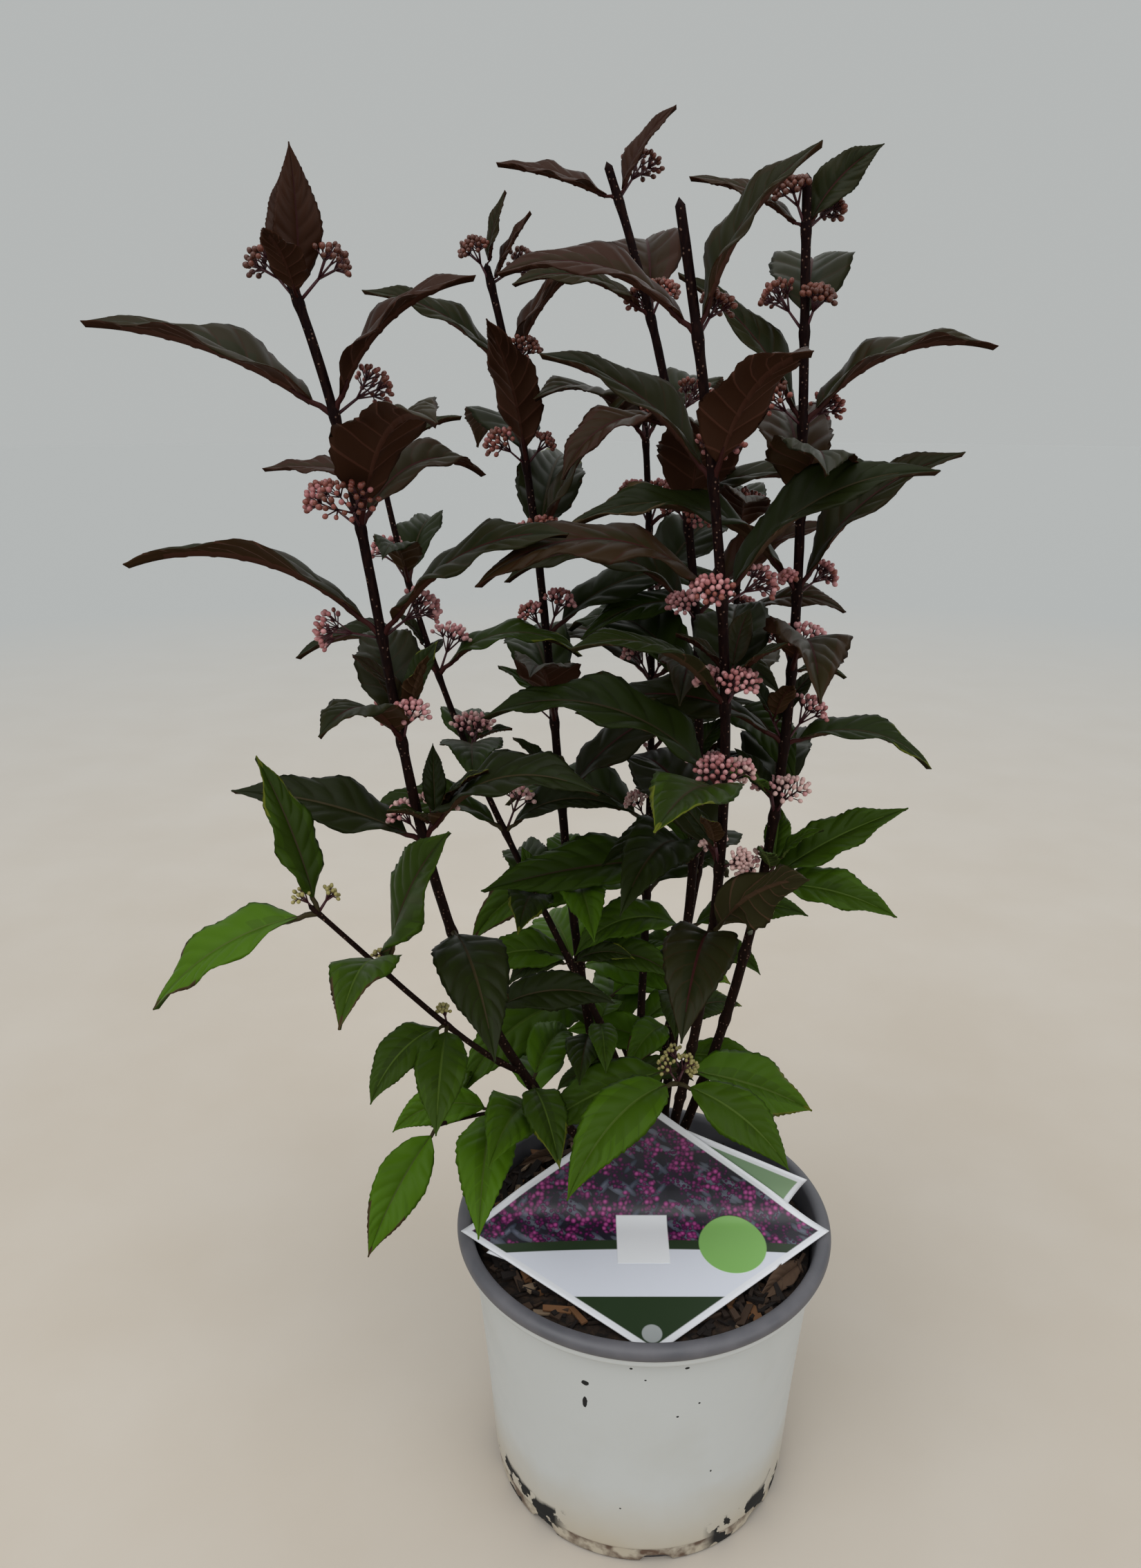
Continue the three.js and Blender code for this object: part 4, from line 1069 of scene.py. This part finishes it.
# Smaller leaves. They fill the gaps once the berries are set: on the old wood below the lowest pair of the
# leafier shoots, and a steep young pair at each growing tip.
LEAFY = ("left", "middle", "back_left", "far_left", "back", "back_right")
OLD_WOOD = {"lowest": 176, "size": 0.58}
TIP_PAIR = {"size": 0.3, "lift": 84, "droop": 66, "share": 0.995, "pair": 20}
for shoot in growing:
    if shoot["name"] in LEAFY:
        pair = shoot["pairs"]
        while pair_root(shoot, pair)[2] > OLD_WOOD["lowest"]:
            for side in (0, 1):
                if (pair, side) not in shoot["bare"]:
                    grow(shoot, bud_leaf(shoot, pair, side, pair_root(shoot, pair), OLD_WOOD["size"]))
            pair += 1
        young_pair = TIP_PAIR["pair"] + (shoot["pairs"] + 1) % 2
        for side in (0, 1):
            root = on_curve(shoot["curve"], TIP_PAIR["share"])
            leaf = bud_leaf(shoot, young_pair, side, root, TIP_PAIR["size"])
            grow(shoot, {**leaf, "lift": TIP_PAIR["lift"], "droop": TIP_PAIR["droop"]})

# Bud bunches. The low left branch bears them at its lower pairs too: small, hard and still green, each on
# a short stalk in the axil of a leaf.
BUDDING = {"name": "low_left", "size": 0.75, "swing": 30}
for shoot in growing:
    if shoot["name"] == BUDDING["name"]:
        for pair in range(1, shoot["pairs"]):
            grow(shoot, {
                "root": pair_root(shoot, pair), "turn": pair_turn(shoot, pair, 0) + BUDDING["swing"],
                "lift": BUNCH["lift"], "size": BUDDING["size"], "bud": (shoot["index"], pair, 0),
            })
        for bunch in shoot["bunches_set"]:
            bunch["budded"] = True

# Side shoots. Young ones stand in some of the axils, each a thin twig of this year's wood with three small
# leaves round its tip.
SIDE_SHOOT = {
    "odds": 0.3, "use": 30, "below": 390, "twig": 13, "size": 0.3, "lift": 62, "leaves": 3, "first_pair": 40,
    "leaf_lift": 70, "leaf_droop": 18, "flatter": 8, "apart": 2, "green_below": 300, "greener": -0.26,
}
side_twigs = []
for shoot in growing:
    for pair in range(1, shoot["pairs"]):
        for side in (0, 1):
            root = pair_root(shoot, pair)
            found = chance(shoot["index"], pair, side, SIDE_SHOOT["use"]) <= SIDE_SHOOT["odds"]
            if "parent" in shoot or root[2] > SIDE_SHOOT["below"] or not found:
                continue
            turn = pair_turn(shoot, pair, side) - BUNCH["swing"]
            ahead = pointing(turn, SIDE_SHOOT["lift"])
            end = root + SIDE_SHOOT["twig"] * ahead
            shade = SIDE_SHOOT["greener"] if root[2] < SIDE_SHOOT["green_below"] else 0
            any_set = False
            for i in range(SIDE_SHOOT["leaves"]):
                own_pair = SIDE_SHOOT["first_pair"] + SIDE_SHOOT["leaves"] * pair + i
                leaf = bud_leaf(shoot, own_pair, side, root, SIDE_SHOOT["size"])
                leaf.update(
                    root=end - SIDE_SHOOT["apart"] * i * ahead, turn=turn + 360 / SIDE_SHOOT["leaves"] * i,
                    lift=SIDE_SHOOT["leaf_lift"] - SIDE_SHOOT["flatter"] * i, droop=SIDE_SHOOT["leaf_droop"],
                    shade=shade,
                )
                any_set = grow(shoot, leaf) or any_set
            if any_set:
                side_twigs.append((root, end))

# Blades. Each leaf is one thin closed sheet, folded a little along its midrib, with sunken side veins, the
# quilted parts between them raised, a wavy toothed margin, and a round stalk that runs into its foot.
BLADE_START = 0.1
BLADE_COLUMNS = np.array([-1, -0.88, -0.64, -0.34, -0.04, 0, 0.04, 0.34, 0.64, 0.88, 1])
VEINS = np.linspace(0.06, 0.75, 7)  # where the side veins leave the midrib
VEIN_HALF = 0.0055
VEIN_SWEEP = {"reach": 0.2, "curve": 1.25}  # how far forward a side vein meets the margin
BETWEEN_VEINS = (0.16, 0.34, 0.5, 0.66, 0.84)
TIP_ROWS = (0.79, 0.83, 0.87, 0.91, 0.95, 0.98)
FOOT_ROUND, TIP_DRAWN = 0.82, 1.28  # how round the foot is and how far the tip is drawn out
NARROWEST = 0.03
BROADER = (1.1, 1.0, 1.04)
WIDEST = 16
FADE = 1.5  # teeth, waves and quilting fade out towards both ends
TOOTH = {"size": 0.0085, "from": 0.04, "steps": (0, 0.55, 1), "uneven": (0.4, 1.3)}
WHOLE_TURN = 6.28
WAVE = {"size": 0.022, "count": (1.8, 3.2)}
QUILT = {
    "size": 0.016, "round": 0.7, "past_veins": 0.35, "level": 0.4, "at": (0, 0.04, 0.34, 0.64, 0.88, 1),
    "rise": (0, 0, 0.8, 1, 0.6, 0.1),
}
EDGE_DROP = 0.14
GROOVE = 0.008
THICK = {"blade": 0.45, "rib": 1.3, "vein": 0.25}
RIB_STOPS = 5  # rows before the tip
TO_FRONT = (42, 7, 20)  # how far leaves at the bottom, middle and top turn their faces to the front
STALK = {
    "radii": (1.2, 0.85), "sides": 6, "rings": 7, "into_blade": 0.09, "full_at": 70, "sunk": 0.75,
    "sunk_from": 0.08, "pointed": 0.3, "browner": 0.15,
}
TOPS = [  # leaf colours from the lowest leaves to the highest
    (0.052, 0.117, 0.004), (0.044, 0.096, 0.0035), (0.037, 0.078, 0.0035), (0.031, 0.063, 0.003),
    (0.026, 0.051, 0.003), (0.021, 0.039, 0.003), (0.017, 0.0295, 0.003), (0.0142, 0.0225, 0.003),
    (0.012, 0.0175, 0.003), (0.0108, 0.0145, 0.003), (0.0115, 0.0135, 0.0035), (0.0145, 0.0145, 0.004),
    (0.019, 0.014, 0.0045), (0.024, 0.0125, 0.0045), (0.029, 0.0105, 0.005),
]
UNDERS = [
    (0.042, 0.076, 0.012), (0.03, 0.043, 0.01), (0.03, 0.026, 0.009), (0.036, 0.018, 0.007),
    (0.036, 0.014, 0.007),
]
RIBS = [(0.06, 0.1, 0.012), (0.034, 0.026, 0.01), (0.034, 0.008, 0.007)]
LOW_RIBS = [(0.07, 0.1, 0.02), (0.065, 0.035, 0.018), (0.06, 0.022, 0.013)]
OLD_MARGINS = [(0.085, 0.1, 0.006), (0.045, 0.028, 0.009)]
LEAF_FINISHES = [  # kind, colours, roughness and gloss
    ("top", TOPS, 0.42, 0.08), ("under", UNDERS, 0.65, 0.06), ("rib", RIBS, 0.55, 0.1),
    ("low_rib", LOW_RIBS, 0.6, 0.1), ("turning", OLD_MARGINS, 0.5, 0.12),
]
LADDER_LOW, LADDER_HIGH = 60, 555
BRANCH_LOWER = 40  # the thin low branches are coloured as if they stood this much lower
UNLIKE = (0.19, 0.17, 0.24)  # how far leaves of one height differ, as a share of the colours
BROWN_VEINS = 7  # past this colour the side veins are one colour browner than the leaf
GREENER = {"share": 0.08, "by": 0.24}  # leaves that are a good deal greener than their neighbours
PATCHES = {"size": 0.35, "along": 0.8, "across": 1.5, "rows": 7, "unlike": 40}
MARGIN = {  # low leaves are greener at the margin, high ones browner
    "colours": (6, 10), "shift": (-1.5, 1.3), "face_middle": 0.1, "halfway": 0.5,
}
OLD = {"share": 0.3, "below": 10, "tip": 3}  # older leaves whose margins and tips turn

leaf_finishes, first_of = [], {}
for kind, colours, roughness, leaf_gloss in LEAF_FINISHES:
    first_of[kind] = len(leaf_finishes)
    leaf_finishes += [plain(f"leaf_{kind}_{i}", c, roughness, leaf_gloss) for i, c in enumerate(colours)]

vein_gap = VEINS[1] - VEINS[0]
blade_rows = [0, 0.03]
vein_rows = []
for vein in VEINS:
    vein_rows.append(len(blade_rows))
    blade_rows += [vein - VEIN_HALF, vein + VEIN_HALF]
    if vein < VEINS[-1]:
        blade_rows += [vein + vein_gap * share for share in BETWEEN_VEINS]
blade_rows = np.array(blade_rows + list(TIP_ROWS))
row_count, column_count = len(blade_rows), len(BLADE_COLUMNS)
veined = (blade_rows > VEINS[0]) & (blade_rows < VEINS[-1])
between = (blade_rows - VEINS[0]) / vein_gap % 1
swell = np.where(veined, np.abs(np.sin(math.pi * between)) ** QUILT["round"], QUILT["past_veins"])
tooth_reach = np.array([TOOTH["steps"][i % len(TOOTH["steps"])] for i in range(row_count)])
tooth_reach[blade_rows < TOOTH["from"]] = 0
# How far along the blade each point of the grid lies, its rows following the side veins.
off_rib = np.abs(BLADE_COLUMNS)[None, :]
swept = 4 * VEIN_SWEEP["reach"] * (blade_rows * (1 - blade_rows))[:, None] * off_rib ** VEIN_SWEEP["curve"]
blade_places = np.minimum(blade_rows[:, None] + swept, 1)
half_widths = blade_places**FOOT_ROUND * (1 - blade_places) ** TIP_DRAWN
half_widths = np.maximum(half_widths / half_widths.max(), NARROWEST)
fading = np.minimum(half_widths * FADE, 1)
quilted = (swell[:, None] - QUILT["level"]) * np.interp(off_rib, QUILT["at"], QUILT["rise"])
rib_faces = [i for i in range(column_count - 1) if 0 in BLADE_COLUMNS[i : i + 2]]


def rung(count, z, shift):
    """Which colour of a ladder belongs to a height."""
    share = (z - LADDER_LOW) / (LADDER_HIGH - LADDER_LOW) + shift
    return min(max(share, 0), 0.999) * count


def faced(leaf):
    """A leaf with its own twist, or else rolled and twisted a little towards the front."""
    if leaf["own_face"] is not None:
        return {**leaf, "roll": 0, "face": leaf["own_face"]}
    outward = math.cos(math.radians(leaf["turn"]))
    roll = (1 - abs(outward)) * leaf["roll"] - outward * abs(leaf["roll"])
    return {**leaf, "roll": roll, "face": -outward * by_height(TO_FRONT, leaf["root"][2])}


def blade_rings(leaf, seed):
    """The rings of points round a blade, from its foot to near its tip, and its mean height."""
    x, length = BLADE_COLUMNS[None, :], leaf["length"]
    shares = BLADE_START + (1 - BLADE_START) * blade_places.ravel()
    middles, across, above = (a.reshape(row_count, column_count, 3) for a in midrib(leaf, shares))
    wide = LEAF["width_share"] * leaf["breadth"] * by_height(BROADER, leaf["root"][2])
    half = min(length * wide, WIDEST) * half_widths
    steps = len(TOOTH["steps"])
    each_tooth = np.repeat(seed.uniform(*TOOTH["uneven"], row_count // steps + 1), steps)[:row_count]
    teeth = TOOTH["size"] * length * (tooth_reach * each_tooth)[:, None] * fading
    fold = math.radians(leaf["fold"])
    reach = x * half + np.sign(x) * np.where(off_rib == 1, teeth, 0)
    phase = np.where(x < 0, seed.uniform(0, WHOLE_TURN), seed.uniform(0, WHOLE_TURN))
    rise = np.abs(reach) * math.sin(fold) - EDGE_DROP * off_rib**3 * half
    waves = np.sin(2 * math.pi * seed.uniform(*WAVE["count"]) * blade_places + phase)
    rise += waves * WAVE["size"] * length * off_rib**2 * fading
    rise += QUILT["size"] * length * quilted * fading
    rise -= np.where(x == 0, GROOVE * length, 0)
    top = middles + (reach * math.cos(fold))[..., None] * across + rise[..., None] * above
    thick = np.where(x == 0, THICK["rib"], THICK["blade"]) + np.zeros((row_count, 1))
    for row in vein_rows:
        thick[row : row + 2, 1:-1] += THICK["vein"]
    low = top - thick[..., None] * above
    return np.concatenate([top, low[:, -2:0:-1]], axis=1), np.mean(middles[..., 2])


def blade_kinds(leaf, seed, z, sides):
    """The finish of each face round a blade: its top by patches, its underside, ribs and veins."""
    shift = by_height(UNLIKE, z) * (2 * seed.random() - 1)
    if seed.random() < GREENER["share"]:
        shift -= GREENER["by"]
    if leaf["shade"]:
        shift = leaf["shade"]
    if leaf["bud"][0] >= len(SHOOTS):
        z -= BRANCH_LOWER
    tops = rung(len(TOPS), z, shift)
    rib_step = int(rung(len(RIBS), z, shift))
    rib, low_rib = first_of["rib"] + rib_step, first_of["low_rib"] + rib_step
    along = [PATCHES["along"] * (row // PATCHES["rows"]) for row in range(row_count)]
    across = [PATCHES["across"] * x for x in BLADE_COLUMNS[:-1]]
    patch = [[noise.noise(Vector((a, b, PATCHES["unlike"] * shift))) for b in across] for a in along]
    on_top = column_count - 1
    kinds = np.zeros((row_count, sides), int)
    off_halfway = np.abs(BLADE_COLUMNS[:-1] + MARGIN["face_middle"]) - MARGIN["halfway"]
    to_margin = np.interp(tops, MARGIN["colours"], MARGIN["shift"]) * off_halfway
    patchy = tops + PATCHES["size"] * np.array(patch) + to_margin
    kinds[:, :on_top] = np.clip(np.floor(patchy), 0, len(TOPS) - 1)
    kinds[vein_rows, :on_top] = min(int(tops) + (tops > BROWN_VEINS), len(TOPS) - 1)
    turning = seed.random()
    if turning < OLD["share"] and tops < OLD["below"]:
        old = first_of["turning"] + (turning < OLD["share"] / 3)
        kinds[row_count // 2 :, [0, column_count - 2]] = old
        kinds[-OLD["tip"] :, :on_top] = old
    kinds[:, on_top:] = first_of["under"] + int(rung(len(UNDERS), z, shift))
    kinds[vein_rows, on_top:] = low_rib
    kinds[:-RIB_STOPS, rib_faces] = rib
    kinds[:-RIB_STOPS, [sides - 1 - i for i in rib_faces]] = low_rib
    return np.append(kinds.ravel(), rib)


def blade(leaf):
    """A closed leaf blade: its points, its faces and their finishes."""
    leaf = faced(leaf)
    seed = np.random.default_rng(leaf["bud"])
    rings, z = blade_rings(leaf, seed)
    sides = rings.shape[1]
    points = np.concatenate([rings.reshape(-1, 3), midrib(leaf, np.array([1.0]))[0]])
    last = (row_count - 1) * sides
    tips = [[last + i, last + (i + 1) % sides, len(points) - 1] for i in range(sides)]
    faces = ring_faces(row_count, sides) + tips + [list(range(sides - 1, -1, -1))]
    return points, faces, blade_kinds(leaf, seed, z, sides)


def stalk(leaf):
    """The round stalk from the shoot into the foot of the blade."""
    leaf = faced(leaf)
    count, sides = STALK["rings"], STALK["sides"]
    shares = np.linspace(0, BLADE_START + STALK["into_blade"], count)
    middles, across, above = midrib(leaf, shares)
    middles = middles - STALK["sunk"] * above * (shares[:, None] > STALK["sunk_from"])
    radii = np.linspace(*STALK["radii"], count) * min(1, leaf["length"] / STALK["full_at"])
    radii[-1] *= STALK["pointed"]
    turns = -np.arange(sides) / sides * 2 * math.pi
    rings = [middles + (across * math.cos(a) + above * math.sin(a)) * radii[:, None] for a in turns]
    ends = [list(range(sides - 1, -1, -1)), list(range((count - 1) * sides, count * sides))]
    faces = ring_faces(count, sides) + ends
    kind = first_of["rib"] + int(rung(len(RIBS), leaf["root"][2], STALK["browner"]))
    return np.stack(rings, axis=1).reshape(-1, 3), faces, np.full(len(faces), kind)


masses = [name for name in frame["nodes"] if name.startswith("foliage_")]
uppers = [name for name in masses if name.endswith("_upper")]
lowers = [name for name in masses if name.endswith("_lower")]
branch_masses = [name for name in masses if name not in uppers + lowers]
LEVELS = [  # name, lowest and highest root, slot and the solids that the leaves stand for
    ("leaves_low", 0, 300, "leaves", branch_masses), ("leaves_middle", 300, 430, "leaves", lowers),
    ("leaves_top", 430, 999, "young_leaves", uppers),
]
every_leaf = [leaf for shoot in growing for leaf in shoot["leaves_set"]]
for level_name, lowest, highest, name_of_slot, replaced in LEVELS:
    here = [leaf for leaf in every_leaf if lowest <= leaf["root"][2] < highest]
    parts = [part for leaf in here for part in (blade(leaf), stalk(leaf))]
    join_parts(level_name, parts, leaf_finishes, replaced)

# Dead leaves. Two small brown ones that have dropped on the compost, curled up as they dried: one at the
# right of the card and one behind the shoots.
DEAD_BROWNS = [(0.075, 0.045, 0.028), (0.045, 0.026, 0.016)]
DEAD_LEAVES = [
    {
        "root": np.array([71, -26, 127.2]), "turn": 222, "lift": 6, "droop": -16, "length": 34,
        "fold": 34, "roll": 14,
    },
    {
        "root": np.array([-36, 50, 127.2]), "turn": 196, "lift": 18, "droop": -26, "length": 25,
        "fold": 40, "roll": -20,
    },
]
SHRUNK = 0.9
dead_parts = []
for i, leaf in enumerate(DEAD_LEAVES):
    dropped = {**leaf, "breadth": SHRUNK, "shade": 0, "own_face": None, "bud": (len(growing) + i, 0, 0)}
    points, faces, kinds = blade(dropped)
    dead_parts.append((points, faces, np.where(kinds >= first_of["rib"], 1, 0)))
dead_finishes = [plain(f"dead_leaf_{i}", c, 0.8, 0.2) for i, c in enumerate(DEAD_BROWNS)]
join_parts("dead_leaves", dead_parts, dead_finishes, [])

# Berries. Small flat-topped bunches in the leaf axils on forked purple stalks: still buds and half-grown
# fruit, brown-red at the top of the crown, pink in its middle, and yellow-green on the low branches.
BEAD = {
    "radius": 1.02, "stretch": 1.25, "in_bunch": (0.92, 1.06), "uneven": (0.85, 1.1), "height": (-1.1, 0.4),
    "innermost": 0.6,
}
FULL_BUNCH = {"size": 1.2, "beads": 33, "bead": 1}  # a little wider than the plain form it was set with
BUD_BUNCH = {"size": 0.75, "beads": 14, "bead": 0.8}
FORK_AT = 0.42
HUBS = {"count": 5, "at": 0.66, "out": 0.42}
DOME = {"top": 0.97, "fall": 0.2}
TWIGS = {"side": (0.8, 0.6), "main": (0.62, 0.48), "fork": (0.44, 0.34), "bead": (0.3, 0.26)}
GOLDEN = math.pi * (3 - math.sqrt(5))
BERRIES = [  # buds first, then from the middle of the crown up
    (0.3, 0.26, 0.09), (0.62, 0.4, 0.37), (0.53, 0.25, 0.255), (0.36, 0.13, 0.13), (0.21, 0.058, 0.043),
    (0.135, 0.038, 0.023), (0.082, 0.023, 0.013),
]
RIPENING = {"lowest": 1.3, "rise": 4.6, "over": 230, "bunch": 0.7, "bead": 0.9}
BERRY_STALK = (0.05, 0.012, 0.016)

bm = bmesh.new()
bmesh.ops.create_uvsphere(bm, u_segments=7, v_segments=5, radius=1)
bead_points = np.array([v.co[:] for v in bm.verts])
bead_faces = [[v.index for v in f.verts] for f in bm.faces]
bm.free()


def twig(start, end, thick, thin):
    """A thin four-sided stalk between two points."""
    ahead = (end - start) / np.linalg.norm(end - start)
    a = np.cross(ahead, (0.31, 0.87, 0.37))
    a /= np.linalg.norm(a)
    b = np.cross(ahead, a)
    turns = np.arange(4) * math.pi / 2
    rings = [
        [middle + (a * math.cos(t) + b * math.sin(t)) * radius for t in turns]
        for middle, radius in ((start, thick), (end, thin))
    ]
    faces = ring_faces(2, 4) + [[3, 2, 1, 0], [4, 5, 6, 7]]
    return np.array(rings).reshape(-1, 3), faces, np.zeros(6, int)


bead_parts = []
twig_parts = [twig(root, end, *TWIGS["side"]) for root, end in side_twigs]
for shoot in growing:
    for bunch in shoot["bunches_set"]:
        seed = np.random.default_rng([*bunch["bud"], 5])
        ahead, broad, deep = bunch_frame(bunch)
        budded, root = bunch["budded"], bunch["root"]
        form = BUD_BUNCH if budded else FULL_BUNCH
        reach = BUNCH["reach"] * (bunch["size"] * form["size"])
        wide = BUNCH_RADII[2] * (bunch["size"] * form["size"]) - BEAD["radius"]
        radius = BEAD["radius"] * form["bead"] * seed.uniform(*BEAD["in_bunch"])
        shade = 0
        if not budded:
            shade = RIPENING["lowest"] + (root[2] - BUNCH["above"]) / RIPENING["over"] * RIPENING["rise"]
            shade += seed.uniform(-RIPENING["bunch"], RIPENING["bunch"])
        fork = root + ahead * reach * FORK_AT
        twig_parts.append(twig(root, fork, *TWIGS["main"]))
        turn = seed.uniform(0, WHOLE_TURN)
        hubs = []
        for i in range(HUBS["count"]):
            out = HUBS["out"] * wide if i else 0
            a = turn + i * math.pi / 2
            off = broad * math.cos(a) * out + deep * math.sin(a) * out * BUNCH["flatness"]
            hubs.append(root + ahead * reach * HUBS["at"] + off)
            twig_parts.append(twig(fork, hubs[-1], *TWIGS["fork"]))
        for i in range(form["beads"]):
            out = math.sqrt((i + BEAD["innermost"]) / form["beads"])
            a = turn + i * GOLDEN
            off = (broad * math.cos(a) + deep * math.sin(a) * BUNCH["flatness"]) * out * wide
            level = reach * (DOME["top"] - DOME["fall"] * out**2) - radius + seed.uniform(*BEAD["height"])
            middle = root + off + ahead * level
            hub = min(hubs, key=lambda one: np.linalg.norm(one - middle))
            twig_parts.append(twig(hub, middle, *TWIGS["bead"]))
            bead = bead_points * (radius * seed.uniform(*BEAD["uneven"]))
            outward = (middle - hub) / np.linalg.norm(middle - hub)
            bead += np.outer(bead @ outward, outward) * (BEAD["stretch"] - 1)
            own_shade = shade + seed.uniform(-RIPENING["bead"], RIPENING["bead"])
            kind = int(np.clip(own_shade, 0 if budded else 1, len(BERRIES) - 1))
            bead_parts.append((bead + middle, bead_faces, np.full(len(bead_faces), kind)))
berry_finishes = [plain(f"berry_{i}", c, 0.3, 0.4) for i, c in enumerate(BERRIES)]
berry_masses = uppers + lowers + ["foliage_rim_front"]
join_parts("berries", bead_parts, berry_finishes, berry_masses)
join_parts("berry_stalks", twig_parts, [plain("berry_stalk", BERRY_STALK, 0.5, 0.3)], berry_masses)
